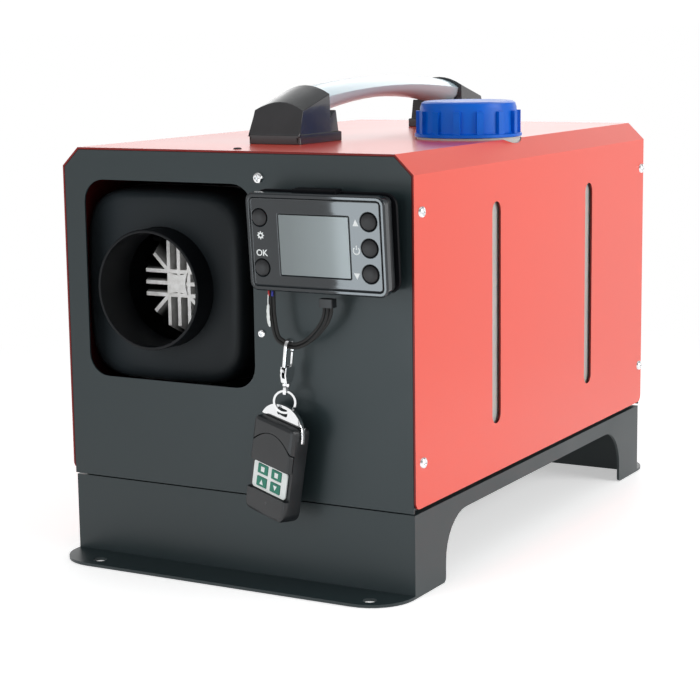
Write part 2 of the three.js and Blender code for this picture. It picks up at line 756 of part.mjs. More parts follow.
// ---------- Carrying handle ----------
// One cross-section of the grip at y: an arched top over a rounded underside.
function gripRing(y, grow) {
  const reach = (y - HANDLE_Y) / SOCKET_FROM_MIDDLE;
  const rise = 1 - reach * reach;
  const crown = GRIP_CROWN_END + GRIP_ARCH_RISE * rise + grow;
  const depth = GRIP_END_DEPTH + (GRIP_MIDDLE_DEPTH - GRIP_END_DEPTH) * rise;
  const under = crown - depth - 2 * grow;
  const half = GRIP_HALF_WIDTH + grow;
  const crease = crown - GRIP_ARCH;
  const points = [];
  for (let i = 0; i <= 8; i++) {
    const across = 1 - i / 4;
    points.push([half * across, crease + (crown - crease) * (1 - across * across)]);
  }
  for (let i = 1; i < 8; i++) {
    const angle = Math.PI + (i / 8) * Math.PI;
    points.push([half * Math.cos(angle), crease + (crease - under) * Math.sin(angle)]);
  }
  return points.map(([x, z]) => new THREE.Vector3(HANDLE_X + x, y, z));
}

function makeGrip(grow = 0) {
  const half = SOCKET_FROM_MIDDLE + SOCKET_DEPTH - FIT + grow;
  const stations = 14;
  const rings = [];
  for (let i = 0; i <= stations; i++) {
    rings.push(gripRing(HANDLE_Y + half * ((2 * i) / stations - 1), grow));
  }
  return loft(rings);
}

// One cross-section of a mount: straight sloping sides under a barrel-vaulted top.
function mountRing(y, eave, crown, lean) {
  const low = CABINET_TOP + PLINTH_HEIGHT - 1;
  const points = [[PLINTH_HALF_WIDTH - 0.5, low]];
  for (let i = 0; i <= 8; i++) {
    const across = 1 - i / 4;
    points.push([MOUNT_EAVE_HALF_WIDTH * across, eave + (crown - eave) * (1 - across * across)]);
  }
  points.push([-PLINTH_HALF_WIDTH + 0.5, low]);
  return points.map(([x, z]) => {
    return new THREE.Vector3(HANDLE_X + x, y + (lean * (z - low)) / (crown - low), z);
  });
}

function makeFrontMount(grip) {
  const outer = HANDLE_Y - HANDLE_HALF_LENGTH;
  const socket = HANDLE_Y - SOCKET_FROM_MIDDLE;
  const toe = HANDLE_Y - TOE_FROM_MIDDLE;
  const plinthTop = CABINET_TOP + PLINTH_HEIGHT;
  const footprint = roundedRect(
    HANDLE_X - PLINTH_HALF_WIDTH,
    outer,
    HANDLE_X + PLINTH_HALF_WIDTH,
    toe,
    2,
  );
  const plinth = pullZ(footprint, CABINET_TOP, plinthTop, { arc: 1 });
  const eave = CABINET_TOP + MOUNT_EAVE_RISE;
  const crown = CABINET_TOP + MOUNT_CROWN_RISE;
  const body = loft([
    mountRing(outer + 0.3, eave, crown, MOUNT_LEAN),
    mountRing(socket, MOUNT_EAVE_INNER, MOUNT_CROWN_INNER, 0),
  ]);
  const toeTop = CABINET_TOP + TOE_RISE;
  const toeProfile = polygon([
    [socket - 1, plinthTop - 1],
    [toe - 0.2, plinthTop - 1],
    [toe - 3.4, toeTop],
    [toe - 4.4, toeTop],
    [socket - 1, toeTop - 8],
  ]);
  const toePiece = pullX(toeProfile, HANDLE_X - TOE_HALF_WIDTH, HANDLE_X + TOE_HALF_WIDTH);
  return cut(join(plinth, body, toePiece), grip);
}

function makeHandle() {
  const front = makeFrontMount(makeGrip(FIT));
  const rear = front.clone().translate(-HANDLE_X, -HANDLE_Y, 0).rotateZ(Math.PI);
  rear.translate(HANDLE_X, HANDLE_Y, 0);
  add("handle_mount_front", front, BLACK_PLASTIC);
  add("handle_mount_rear", rear, BLACK_PLASTIC);
  add("handle_grip", makeGrip(), GREY_PLASTIC);
}

// ---------- Fuel tank and filler ----------
function tankBlock(inset) {
  const shape = roundedRect(
    TANK_LEFT + inset,
    CABINET_BOTTOM + inset,
    TANK_RIGHT - inset,
    TANK_TOP - inset,
    TANK_RADIUS - inset,
  );
  const half = TANK_HALF_LENGTH - inset;
  return pullY(shape, -half, half, { bevel: TANK_BEVEL - inset / 2, arc: 2 });
}

function makeTank() {
  const bossTop = CAP_BOTTOM - FIT;
  const boss = rodZ(FILLER_HOLE_RADIUS - BOSS_GAP, TANK_TOP - TANK_WALL, bossTop, FILLER_X, FILLER_Y, 40);
  const neck = rodZ(NECK_RADIUS, TANK_TOP - TANK_WALL, NECK_TOP, FILLER_X, FILLER_Y, 40);
  const spigotEnd = DIVIDER_X - FILTER_RADIUS - FIT;
  const spigot = rodX(NIPPLE_RADIUS, spigotEnd, TANK_LEFT + 1, FILTER_Y, FILTER_Z, 12);
  const bore = rodZ(NECK_RADIUS - NECK_WALL, TANK_TOP - 3 * TANK_WALL, NECK_TOP + 1, FILLER_X, FILLER_Y, 40);
  return cut(join(tankBlock(0), boss, neck, spigot), tankBlock(TANK_WALL), bore);
}

function makeCap() {
  const inner = NECK_RADIUS + 2;
  const under = CAP_TOP - CAP_WALL;
  const shoulder = CAP_BOTTOM + CAP_RIB_HEIGHT;
  const body = revolveZ(
    [
      [0, under],
      [inner, under],
      [inner, CAP_BOTTOM],
      [CAP_RADIUS, CAP_BOTTOM],
      [CAP_RADIUS, CAP_BOTTOM + CAP_FLANGE],
      [CAP_BODY_RADIUS, CAP_BOTTOM + CAP_FLANGE + 0.8],
      [CAP_BODY_RADIUS - 0.3, shoulder + 2],
      [CAP_BODY_RADIUS - 1.2, CAP_TOP - 1.2],
      [CAP_BODY_RADIUS - 3, CAP_TOP - 0.2],
      [CAP_BODY_RADIUS - 5, CAP_TOP],
      [0, CAP_TOP],
    ],
    FILLER_X,
    FILLER_Y,
    48,
  );
  const ribs = [];
  for (let rib = 0; rib < CAP_RIBS; rib++) {
    const bar = block(
      CAP_BODY_RADIUS - 1.5,
      CAP_RIB_RADIUS,
      -CAP_RIB_WIDTH / 2,
      CAP_RIB_WIDTH / 2,
      CAP_BOTTOM + CAP_FLANGE / 2,
      shoulder,
    );
    bar.rotateZ((rib * 2 * Math.PI) / CAP_RIBS);
    ribs.push(bar.translate(FILLER_X, FILLER_Y, 0));
  }
  return join(body, ...ribs);
}

function makeFuelSystem() {
  add("fuel_tank", makeTank(), MILK_PLASTIC);
  add("filler_cap", makeCap(), BLUE_PLASTIC);
  const seal = ringProfile(NECK_RADIUS - NECK_WALL, NECK_RADIUS + 1.7, GASKET_TOP - GASKET_THICKNESS, GASKET_TOP);
  add("cap_gasket", revolveZ(seal, FILLER_X, FILLER_Y, 32), RUBBER);

  const pumpRear = PUMP_FRONT_Y + PUMP_LENGTH;
  const pump = revolveY(
    [
      [0, PUMP_FRONT_Y - PUMP_NIPPLE],
      [NIPPLE_RADIUS, PUMP_FRONT_Y - PUMP_NIPPLE],
      [NIPPLE_RADIUS, PUMP_FRONT_Y],
      [PUMP_RADIUS * 0.8, PUMP_FRONT_Y],
      [PUMP_RADIUS, PUMP_FRONT_Y + 3],
      [PUMP_RADIUS, pumpRear - 10],
      [PUMP_RADIUS * 0.6, pumpRear - 7],
      [PUMP_RADIUS * 0.6, pumpRear],
      [NIPPLE_RADIUS, pumpRear],
      [NIPPLE_RADIUS, pumpRear + PUMP_NIPPLE],
      [0, pumpRear + PUMP_NIPPLE],
    ],
    AXIS_X,
    PUMP_Z,
    24,
  );
  add("fuel_pump", pump, STEEL);

  const clampStart = PUMP_FRONT_Y + (PUMP_LENGTH - CLAMP_LENGTH) / 2;
  const clampEnd = clampStart + CLAMP_LENGTH;
  const bore = PUMP_RADIUS + FIT;
  const saddle = rodY(bore + CLAMP_WALL, clampStart, clampEnd, AXIS_X, PUMP_Z, 24);
  const leg = block(AXIS_X - 10, AXIS_X + 10, clampStart, clampEnd, CABINET_BOTTOM, PUMP_Z);
  const hole = rodY(bore, clampStart - 1, clampEnd + 1, AXIS_X, PUMP_Z, 24);
  add("pump_clamp", cut(join(saddle, leg), hole), RUBBER);

  const filterRight = DIVIDER_X - FILTER_RADIUS - 2 * FIT;
  const filterLeft = filterRight - FILTER_LENGTH - 2 * NIPPLE_LENGTH;
  const filterBody = rodX(
    FILTER_RADIUS,
    filterLeft + NIPPLE_LENGTH,
    filterRight - NIPPLE_LENGTH,
    FILTER_Y,
    FILTER_Z,
    20,
  );
  const filterTube = rodX(NIPPLE_RADIUS, filterLeft, filterRight, FILTER_Y, FILTER_Z, 12);
  add("fuel_filter", join(filterBody, filterTube), MILK_PLASTIC);

  const suction = [
    [filterLeft - FIT, FILTER_Y, FILTER_Z],
    [filterLeft - 10, FILTER_Y, FILTER_Z],
    [filterLeft - 24, FILTER_Y + 5, FILTER_Z + 5],
    [AXIS_X + 4, FILTER_Y + 2, PUMP_Z - 3],
    [AXIS_X, FILTER_Y - 6, PUMP_Z],
    [AXIS_X, pumpRear + PUMP_NIPPLE + FIT, PUMP_Z],
  ];
  add("suction_hose", tubeAlong(suction, HOSE_RADIUS, 18), RUBBER);
  const feed = [
    [AXIS_X, PUMP_FRONT_Y - PUMP_NIPPLE - FIT, PUMP_Z],
    [AXIS_X, PUMP_FRONT_Y - PUMP_NIPPLE - 8, PUMP_Z],
    [AXIS_X + 8, FUEL_STUB_Y + 14, PUMP_Z + 1],
    [FUEL_STUB_X - 2, FUEL_STUB_Y + 2, PUMP_Z + 6],
    [FUEL_STUB_X, FUEL_STUB_Y, FUEL_STUB_Z - 6],
    [FUEL_STUB_X, FUEL_STUB_Y, FUEL_STUB_Z - FIT],
  ];
  add("feed_hose", tubeAlong(feed, HOSE_RADIUS, 18), RUBBER);
}

// ---------- Heater unit ----------
// A rounded square ring round the heater axis at y. Power 2 is a circle, more is squarer.
function hoodRing(y, halfX, halfZ, power) {
  const count = 32;
  const points = [];
  for (let i = 0; i < count; i++) {
    const angle = (i / count) * 2 * Math.PI;
    const across = Math.sign(Math.cos(angle)) * Math.abs(Math.cos(angle)) ** (2 / power);
    const up = Math.sign(Math.sin(angle)) * Math.abs(Math.sin(angle)) ** (2 / power);
    points.push(new THREE.Vector3(AXIS_X + halfX * across, y, AXIS_Z + halfZ * up));
  }
  return points;
}

// The dome from the square case to the round collar, moved in by inset.
function hoodDome(inset, mouth, backY) {
  const depth = CASE_FRONT_Y - HOOD_FRONT_Y - inset;
  const rings = [hoodRing(backY, CASE_HALF_WIDTH - inset, CASE_HALF_HEIGHT - inset, HOOD_SQUARENESS)];
  const steps = 6;
  for (let i = inset ? 1 : 0; i <= steps; i++) {
    if (i === 0) continue;
    const angle = (i / steps) * (Math.PI / 2);
    const share = Math.max(0, Math.cos(angle)) ** HOOD_SHOULDER;
    const power = 2 + (HOOD_SQUARENESS - 2) * share;
    const halfX = mouth + (CASE_HALF_WIDTH - inset - mouth) * share;
    const halfZ = mouth + (CASE_HALF_HEIGHT - inset - mouth) * share;
    rings.push(hoodRing(CASE_FRONT_Y - depth * Math.sin(angle) ** HOOD_SHOULDER, halfX, halfZ, power));
  }
  return loft(rings);
}

function makeHood() {
  const mouth = COLLAR_RADIUS + FIT;
  const outer = hoodDome(0, mouth + CASE_WALL, CASE_FRONT_Y);
  const inner = hoodDome(CASE_WALL, mouth, CASE_FRONT_Y + 1);
  const through = rodY(mouth, HOOD_FRONT_Y - 1, COLLAR_BACK_Y, AXIS_X, AXIS_Z, 40);
  return cut(outer, inner, through);
}

function makeCollar() {
  const inner = COLLAR_RADIUS - COLLAR_WALL;
  const bead = HOOD_FRONT_Y + CASE_WALL + 2;
  return revolveY(
    [
      [inner, FRONT_Y],
      [COLLAR_RADIUS - 0.5, FRONT_Y],
      [COLLAR_RADIUS, FRONT_Y + 0.8],
      [COLLAR_RADIUS, bead],
      [COLLAR_RADIUS + COLLAR_BEAD, bead + 1],
      [COLLAR_RADIUS + COLLAR_BEAD, bead + 3],
      [COLLAR_RADIUS, bead + 4],
      [COLLAR_RADIUS, COLLAR_BACK_Y],
      [inner, COLLAR_BACK_Y],
      [inner, FRONT_Y],
    ],
    AXIS_X,
    AXIS_Z,
    40,
  );
}

function caseSection(inset) {
  return roundedRect(
    AXIS_X - CASE_HALF_WIDTH + inset,
    AXIS_Z - CASE_HALF_HEIGHT + inset,
    AXIS_X + CASE_HALF_WIDTH - inset,
    AXIS_Z + CASE_HALF_HEIGHT - inset,
    CASE_CORNER_RADIUS - inset,
  );
}

// The case is one rounded square duct, parted on the heater's middle plane.
function makeCaseHalf(upper) {
  const outer = pullY(caseSection(0), CASE_FRONT_Y, CASE_REAR_Y);
  const inner = pullY(caseSection(CASE_WALL), CASE_FRONT_Y - 1, CASE_REAR_Y - CASE_WALL);
  const intake = rodY(INTAKE_RADIUS, CASE_REAR_Y - 2 * CASE_WALL, CASE_REAR_Y + 1, AXIS_X, AXIS_Z, 40);
  const far = CASE_HALF_HEIGHT + 1;
  const zRange = upper ? [AXIS_Z - far, AXIS_Z] : [AXIS_Z, AXIS_Z + far];
  const otherHalf = block(
    AXIS_X - CASE_HALF_WIDTH - 1,
    AXIS_X + CASE_HALF_WIDTH + 1,
    CASE_FRONT_Y - 1,
    CASE_REAR_Y + 1,
    ...zRange,
  );
  const holes = upper ? [] : [...pipeHoles(CASE_BOTTOM - 1, CASE_BOTTOM + 2 * CASE_WALL), fuelStubHole()];
  return cut(outer, inner, intake, otherHalf, ...holes);
}

function fuelStubHole() {
  const top = CASE_BOTTOM + 2 * CASE_WALL;
  return rodZ(NIPPLE_RADIUS + PIPE_CLEARANCE, FUEL_STUB_Z + 2, top, FUEL_STUB_X, FUEL_STUB_Y, 12);
}

// A cooling fin drawn in (distance along the axis, radius), standing on the axis at angle.
function makeFin(angle, offset, noseRadius, frontY) {
  const start = frontY > FIN_FLARE_Y;
  const profile = start
    ? [
        [frontY, 0],
        [frontY, FIN_RADIUS - 4],
        [frontY + 4, FIN_RADIUS],
        [FLANGE_Y, FIN_RADIUS],
        [FLANGE_Y, 0],
      ]
    : [
        [NOSE_Y + 1, 0],
        [NOSE_Y + 1, noseRadius],
        [(NOSE_Y + FIN_FLARE_Y) / 2, noseRadius + 0.35 * (FIN_RADIUS - noseRadius)],
        [FIN_FLARE_Y, FIN_RADIUS],
        [FLANGE_Y, FIN_RADIUS],
        [FLANGE_Y, 0],
      ];
  const fin = pullX(polygon(profile), offset - FIN_THICKNESS / 2, offset + FIN_THICKNESS / 2);
  return fin.rotateY(angle * DEG).translate(AXIS_X, 0, AXIS_Z);
}

// The nose: a square boss with hollowed sides, seen down the outlet.
function makeNose() {
  const half = NOSE_HALF;
  const deep = NOSE_HALF - NOSE_HOLLOW;
  const shape = new THREE.Shape();
  shape.moveTo(half, half);
  shape.quadraticCurveTo(0, 2 * deep - half, -half, half);
  shape.quadraticCurveTo(half - 2 * deep, 0, -half, -half);
  shape.quadraticCurveTo(0, half - 2 * deep, half, -half);
  shape.quadraticCurveTo(2 * deep - half, 0, half, half);
  return pullY(shape, NOSE_Y, FIN_FLARE_Y, { arc: 4 }).translate(AXIS_X, 0, AXIS_Z);
}

function makeExchanger() {
  const fins = [];
  for (let side = 0; side < 4; side++) {
    const angle = side * 90;
    const noseRadius = side % 2 ? FIN_START_SIDE : FIN_START_TOP;
    for (const step of [-1, 0, 1]) fins.push(makeFin(angle, step * FIN_PITCH, noseRadius, NOSE_Y));
    for (const step of [-3, -2, 2, 3]) {
      fins.push(makeFin(angle, step * FIN_PITCH, 0, FIN_FLARE_Y + 6));
    }
    fins.push(makeFin(angle + 45, 0, FIN_START_CORNER, NOSE_Y));
  }
  const core = rodY(CORE_RADIUS, FIN_FLARE_Y + 4, FLANGE_Y + 1, AXIS_X, AXIS_Z, 32);
  const flange = rodY(CUP_RADIUS + 6, FLANGE_Y, FLANGE_Y + FLANGE_THICKNESS, AXIS_X, AXIS_Z, 40);
  const cup = rodY(CUP_RADIUS, FLANGE_Y, CUP_REAR_Y, AXIS_X, AXIS_Z, 40);
  const footTop = AXIS_Z - CORE_RADIUS + 4;
  const footBottom = CASE_BOTTOM + CASE_WALL;
  const foot = block(
    AXIS_X - FOOT_HALF_WIDTH,
    AXIS_X + FOOT_HALF_WIDTH,
    FOOT_FRONT_Y,
    FLANGE_Y,
    footBottom,
    footTop,
  );
  const stub = rodZ(NIPPLE_RADIUS, FUEL_STUB_Z, footBottom + 1, FUEL_STUB_X, FUEL_STUB_Y, 12);
  const casting = join(makeNose(), core, flange, cup, foot, stub, ...fins);
  const boreEnd = FLANGE_Y + FLANGE_THICKNESS;
  const bore = rodY(BORE_RADIUS, BORE_FRONT_Y, boreEnd + 1, AXIS_X, AXIS_Z, 32);
  const chamber = rodY(CUP_RADIUS - CUP_WALL, boreEnd, CUP_REAR_Y + 1, AXIS_X, AXIS_Z, 40);
  const plugHole = rodZ(
    GLOW_PLUG_HEX + FIT,
    AXIS_Z + CORE_RADIUS,
    AXIS_Z + FIN_RADIUS + 1,
    AXIS_X,
    GLOW_PLUG_Y,
    12,
  );
  const plugBore = rodZ(
    GLOW_PLUG_RADIUS + FIT,
    AXIS_Z + BORE_RADIUS - 4,
    AXIS_Z + CORE_RADIUS + 1,
    AXIS_X,
    GLOW_PLUG_Y,
    12,
  );
  return cut(casting, bore, chamber, plugHole, plugBore);
}

function makeBurner() {
  const outer = BORE_RADIUS - 1.5;
  const seat = FLANGE_Y + FLANGE_THICKNESS;
  const tube = revolveY(
    [
      [0, BURNER_FRONT_Y],
      [outer, BURNER_FRONT_Y],
      [outer, seat],
      [CUP_RADIUS - CUP_WALL - 0.5, seat],
      [CUP_RADIUS - CUP_WALL - 0.5, seat + BURNER_FLANGE],
      [outer - BURNER_WALL, seat + BURNER_FLANGE],
      [outer - BURNER_WALL, BURNER_FRONT_Y + BURNER_WALL],
      [0, BURNER_FRONT_Y + BURNER_WALL],
    ],
    AXIS_X,
    AXIS_Z,
    32,
  );
  const plugHole = rodZ(GLOW_PLUG_RADIUS + FIT, AXIS_Z + 10, AXIS_Z + BORE_RADIUS, AXIS_X, GLOW_PLUG_Y, 12);
  return cut(tube, plugHole);
}

function makeGlowPlug() {
  const tip = AXIS_Z + BORE_RADIUS - 6;
  const seat = AXIS_Z + CORE_RADIUS + FIT;
  const stick = revolveZ(
    [
      [0, tip],
      [GLOW_PLUG_RADIUS * 0.7, tip],
      [GLOW_PLUG_RADIUS, tip + 2],
      [GLOW_PLUG_RADIUS, seat + 1],
      [0, seat + 1],
    ],
    AXIS_X,
    GLOW_PLUG_Y,
    12,
  );
  const hex = rodZ(GLOW_PLUG_HEX, seat, seat + 10, AXIS_X, GLOW_PLUG_Y, 6);
  const terminal = rodZ(GLOW_PLUG_RADIUS * 0.6, seat + 9, seat + 18, AXIS_X, GLOW_PLUG_Y, 10);
  return join(stick, hex, terminal);
}

function makeCombustionWheel() {
  const vaneFront = FLANGE_Y + FLANGE_THICKNESS + BURNER_FLANGE + 2.5;
  const discFront = vaneFront + WHEEL_VANE_HEIGHT;
  const disc = rodY(WHEEL_RADIUS, discFront, discFront + WHEEL_DISC, AXIS_X, AXIS_Z, 32);
  const hub = rodY(9, vaneFront, discFront + WHEEL_DISC, AXIS_X, AXIS_Z, 20);
  const vanes = [];
  for (let i = 0; i < WHEEL_VANES; i++) {
    const vane = block(14, WHEEL_RADIUS - 0.5, vaneFront, discFront + 0.5, -0.7, 0.7);
    vane.translate(-22, 0, 0).rotateY(-25 * DEG).translate(22, 0, 0);
    vane.rotateY((i * 2 * Math.PI) / WHEEL_VANES);
    vanes.push(vane.translate(AXIS_X, 0, AXIS_Z));
  }
  const bore = rodY(SHAFT_RADIUS + FIT, vaneFront - 1, discFront + WHEEL_DISC + 1, AXIS_X, AXIS_Z, 16);
  return cut(join(disc, hub, ...vanes), bore);
}

function makeMotor() {
  const plateEnd = MOTOR_FRONT_Y + MOTOR_PLATE;
  const plate = rodY(CUP_RADIUS + 4, MOTOR_FRONT_Y, plateEnd, AXIS_X, AXIS_Z, 40);
  const can = revolveY(
    [
      [0, plateEnd - 1],
      [MOTOR_RADIUS, plateEnd - 1],
      [MOTOR_RADIUS, MOTOR_REAR_Y - 6],
      [MOTOR_RADIUS - 3, MOTOR_REAR_Y - 3],
      [10, MOTOR_REAR_Y - 3],
      [10, MOTOR_REAR_Y],
      [0, MOTOR_REAR_Y],
    ],
    AXIS_X,
    AXIS_Z,
    32,
  );
  const bore = rodY(SHAFT_RADIUS + FIT, MOTOR_FRONT_Y - 1, MOTOR_REAR_Y + 1, AXIS_X, AXIS_Z, 16);
  return cut(join(plate, can), bore);
}

// A fan blade: thin sections at the hub, the middle and the tip, pitched less towards the tip.
function fanBlade(turn) {
  const radii = [FAN_HUB_RADIUS - 1.5, (FAN_HUB_RADIUS + FAN_RADIUS) / 2, FAN_RADIUS];
  const chord = (FAN_DEPTH - 4) / Math.cos(FAN_TIP_PITCH * DEG) / 2;
  const middle = FAN_FRONT_Y + FAN_DEPTH / 2;
  const rings = radii.map((radius, i) => {
    const pitch = (FAN_ROOT_PITCH + ((FAN_TIP_PITCH - FAN_ROOT_PITCH) * i) / 2) * DEG;
    const corners = [
      [-chord, -1],
      [chord, -1],
      [chord, 1],
      [-chord, 1],
    ];
    return corners.map(([along, side]) => {
      const half = (side * FAN_BLADE_THICKNESS) / 2;
      const sweep = along * Math.sin(pitch) + half * Math.cos(pitch);
      const back = along * Math.cos(pitch) - half * Math.sin(pitch);
      return new THREE.Vector3(radius, middle + back, sweep);
    });
  });
  return loft(rings).rotateY(turn).translate(AXIS_X, 0, AXIS_Z);
}

function makeFan() {
  const rear = FAN_FRONT_Y + FAN_DEPTH;
  const hub = revolveY(
    [
      [0, FAN_FRONT_Y],
      [FAN_HUB_RADIUS, FAN_FRONT_Y],
      [FAN_HUB_RADIUS, rear - 4],
      [FAN_HUB_RADIUS - 3, rear],
      [0, rear],
    ],
    AXIS_X,
    AXIS_Z,
    28,
  );
  const blades = [];
  for (let i = 0; i < FAN_BLADES; i++) blades.push(fanBlade((i * 2 * Math.PI) / FAN_BLADES));
  const bore = rodY(SHAFT_RADIUS + FIT, FAN_FRONT_Y - 1, rear + 1, AXIS_X, AXIS_Z, 16);
  return cut(join(hub, ...blades), bore);
}

// A straight pipe down from the exchanger's foot, with a bead round its lower end.
function makePipe(radius, y) {
  const top = CASE_BOTTOM + CASE_WALL;
  return revolveZ(
    [
      [radius - PIPE_WALL, PIPE_END_Z],
      [radius, PIPE_END_Z],
      [radius, PIPE_END_Z + 3],
      [radius + PIPE_BEAD - 0.2, PIPE_END_Z + 4],
      [radius + PIPE_BEAD - 0.2, PIPE_END_Z + 5],
      [radius, PIPE_END_Z + 6],
      [radius, top],
      [radius - PIPE_WALL, top],
      [radius - PIPE_WALL, PIPE_END_Z],
    ],
    AXIS_X,
    y,
    28,
  );
}

// The stand: a hat-shaped sheet that carries the case above the floor pan.
function makeStand() {
  const thick = STAND_SHEET;
  const low = CABINET_BOTTOM;
  const high = CASE_BOTTOM;
  const half = STAND_HALF;
  const foot = STAND_HALF + STAND_FOOT;
  const hat = polygon(
    [
      [-foot, low],
      [thick - half, low],
      [thick - half, high - thick],
      [half - thick, high - thick],
      [half - thick, low],
      [foot, low],
      [foot, low + thick],
      [half, low + thick],
      [half, high],
      [-half, high],
      [-half, low + thick],
      [-foot, low + thick],
    ].map(([x, z]) => [AXIS_X + x, z]),
  );
  const sheet = pullY(hat, STAND_FRONT_Y, STAND_REAR_Y);
  return cut(sheet, ...pipeHoles(high - 2 * thick, high + 1), fuelStubHole());
}

function makeHeaterUnit() {
  add("heater_stand", makeStand(), STEEL);
  add("outlet_hood", makeHood(), BLACK_PLASTIC);
  add("outlet_collar", makeCollar(), BLACK_PLASTIC);
  add("heater_case_upper", makeCaseHalf(true), BLACK_PLASTIC);
  add("heater_case_lower", makeCaseHalf(false), BLACK_PLASTIC);
  add("heat_exchanger", makeExchanger(), CAST_ALUMINIUM);
  add("burner_tube", makeBurner(), STEEL);
  add("glow_plug", makeGlowPlug(), STEEL);
  add("combustion_wheel", makeCombustionWheel(), CAST_ALUMINIUM);
  add("blower_motor", makeMotor(), STEEL);
  const shaftFront = FLANGE_Y + FLANGE_THICKNESS + BURNER_FLANGE + 1;
  const shaftRear = FAN_FRONT_Y + FAN_DEPTH - 1;
  add("rotor_shaft", rodY(SHAFT_RADIUS, shaftFront, shaftRear, AXIS_X, AXIS_Z, 16), STEEL);
  add("heating_fan", makeFan(), BLACK_PLASTIC);
  const boxBottom = AXIS_Z + MOTOR_RADIUS + FIT;
  const boxFront = MOTOR_FRONT_Y + MOTOR_PLATE + 5;
  const box = roundedRect(
    AXIS_X - CONTROL_BOX_WIDTH / 2,
    boxBottom,
    AXIS_X + CONTROL_BOX_WIDTH / 2,
    boxBottom + CONTROL_BOX_HEIGHT,
    2,
  );
  add("control_unit", pullY(box, boxFront, boxFront + CONTROL_BOX_LENGTH, { arc: 1 }), BLACK_PLASTIC);
  add("exhaust_pipe", makePipe(EXHAUST_RADIUS, EXHAUST_Y), STEEL);
  add("combustion_air_pipe", makePipe(AIR_PIPE_RADIUS, AIR_PIPE_Y), STEEL);
}

// ---------- Controller ----------
// Drawn about the middle of its face: x right, y back into the cabinet, z up the face.
function centredRect(width, height, radius, x = 0, z = 0) {
  return roundedRect(x - width / 2, z - height / 2, x + width / 2, z + height / 2, radius);
}

function makeBezel() {
  const frame = centredRect(CONTROLLER_WIDTH, CONTROLLER_HEIGHT, CONTROLLER_RADIUS);
  const body = pullY(frame, 0, BEZEL_DEPTH, { bevel: 0.8, arc: 2 });
  const width = CONTROLLER_WIDTH - 2 * FACE_BORDER;
  const height = CONTROLLER_HEIGHT - 2 * FACE_BORDER;
  const recess = pullY(centredRect(width, height, 2), -1, FACE_RECESS, { arc: 1 });
  const window = centredRect(SCREEN_WIDTH, SCREEN_HEIGHT, 0.5, SCREEN_X, SCREEN_Z);
  const holes = BUTTONS.map(([, x, z]) => {
    return rodY(BUTTON_RADIUS + BUTTON_GAP, -1, BEZEL_DEPTH + 1, x, z, 20);
  });
  return cut(body, recess, pullY(window, -1, BEZEL_DEPTH + 1, { arc: 1 }), ...holes);
}

function makeBracket() {
  const front = BEZEL_DEPTH + BACK_DEPTH + 2 * FIT;
  const back = front + BRACKET_SHEET;
  const halfHeight = CONTROLLER_HEIGHT / 2;
  const plate = pullY(centredRect(CONTROLLER_WIDTH + 2, CONTROLLER_HEIGHT, 7), front, back, { arc: 2 });
  const tabFront = BEZEL_DEPTH + 1;
  const topTab = block(-18, 11, tabFront, back, halfHeight - 1, halfHeight + BRACKET_SHEET - 1);
  const bottomTab = block(-1.5, 9.5, tabFront, back, -halfHeight - BRACKET_SHEET + 1, 1 - halfHeight);
  // The foot's back face lies along the panel, so it slants by the controller's tilt.
  const panel = (z) => (CONTROLLER_OUT + z * Math.sin(CONTROLLER_TILT * DEG)) / Math.cos(CONTROLLER_TILT * DEG);
  const foot = polygon([
    [back - 1, -16],
    [panel(-16) - FIT, -16],
    [panel(16) - FIT, 16],
    [back - 1, 16],
  ]);
  return join(plate, topTab, bottomTab, pullX(foot, -24, 24));
}

// A button: a low dome on a stem with a collar behind the face.
function makeButton(x, z) {
  const face = FACE_RECESS;
  return revolveY(
    [
      [0, face - BUTTON_HEIGHT],
      [BUTTON_RADIUS * 0.4, face - BUTTON_HEIGHT + 0.12],
      [BUTTON_RADIUS * 0.7, face - BUTTON_HEIGHT + 0.45],
      [BUTTON_RADIUS * 0.9, face - BUTTON_HEIGHT + 1],
      [BUTTON_RADIUS, face - BUTTON_HEIGHT + 1.7],
      [BUTTON_RADIUS, BEZEL_DEPTH - 1.5],
      [0, BEZEL_DEPTH - 1.5],
    ],
    x,
    z,
    20,
  );
}

function makeController() {
  const controller = new THREE.Group();
  controller.position.set(CONTROLLER_X, FRONT_Y - CONTROLLER_OUT, CONTROLLER_Z);
  controller.rotation.x = CONTROLLER_TILT * DEG;
  heater.add(controller);
  add("controller_bezel", makeBezel(), GLOSS_PLASTIC, controller);
  const backShape = centredRect(
    CONTROLLER_WIDTH - 2 * BACK_INSET,
    CONTROLLER_HEIGHT - 2 * BACK_INSET,
    CONTROLLER_RADIUS - BACK_INSET,
  );
  const backFront = BEZEL_DEPTH + FIT;
  const back = pullY(backShape, backFront, backFront + BACK_DEPTH, { arc: 2 });
  add("controller_back", back, BLACK_PLASTIC, controller);
  add("controller_bracket", makeBracket(), BLACK_PLASTIC, controller);
  const glass = centredRect(SCREEN_WIDTH - 2 * FIT, SCREEN_HEIGHT - 2 * FIT, 0.4, SCREEN_X, SCREEN_Z);
  const screen = pullY(glass, FACE_RECESS, FACE_RECESS + SCREEN_THICKNESS, { arc: 1 });
  add("lcd_screen", screen, SCREEN, controller);
  for (const [name, x, z] of BUTTONS) add(name, makeButton(x, z), RUBBER, controller);
}

function makeCable() {
  const route = CABLE_ROUTE.map(([x, z]) => [x, CABLE_Y, z]);
  add("controller_cable", tubeAlong(route, CABLE_RADIUS, 30), RUBBER);
  const [plugX, plugZ] = CABLE_ROUTE[CABLE_ROUTE.length - 1];
  const low = plugZ + FIT;
  const plug = roundedRect(
    plugX - PLUG_WIDTH / 2,
    CABLE_Y - PLUG_DEPTH / 2,
    plugX + PLUG_WIDTH / 2,
    CABLE_Y + PLUG_DEPTH / 2,
    1,
  );
  add("cable_plug", pullZ(plug, low, low + PLUG_HEIGHT, { arc: 1 }), BLACK_PLASTIC);
}

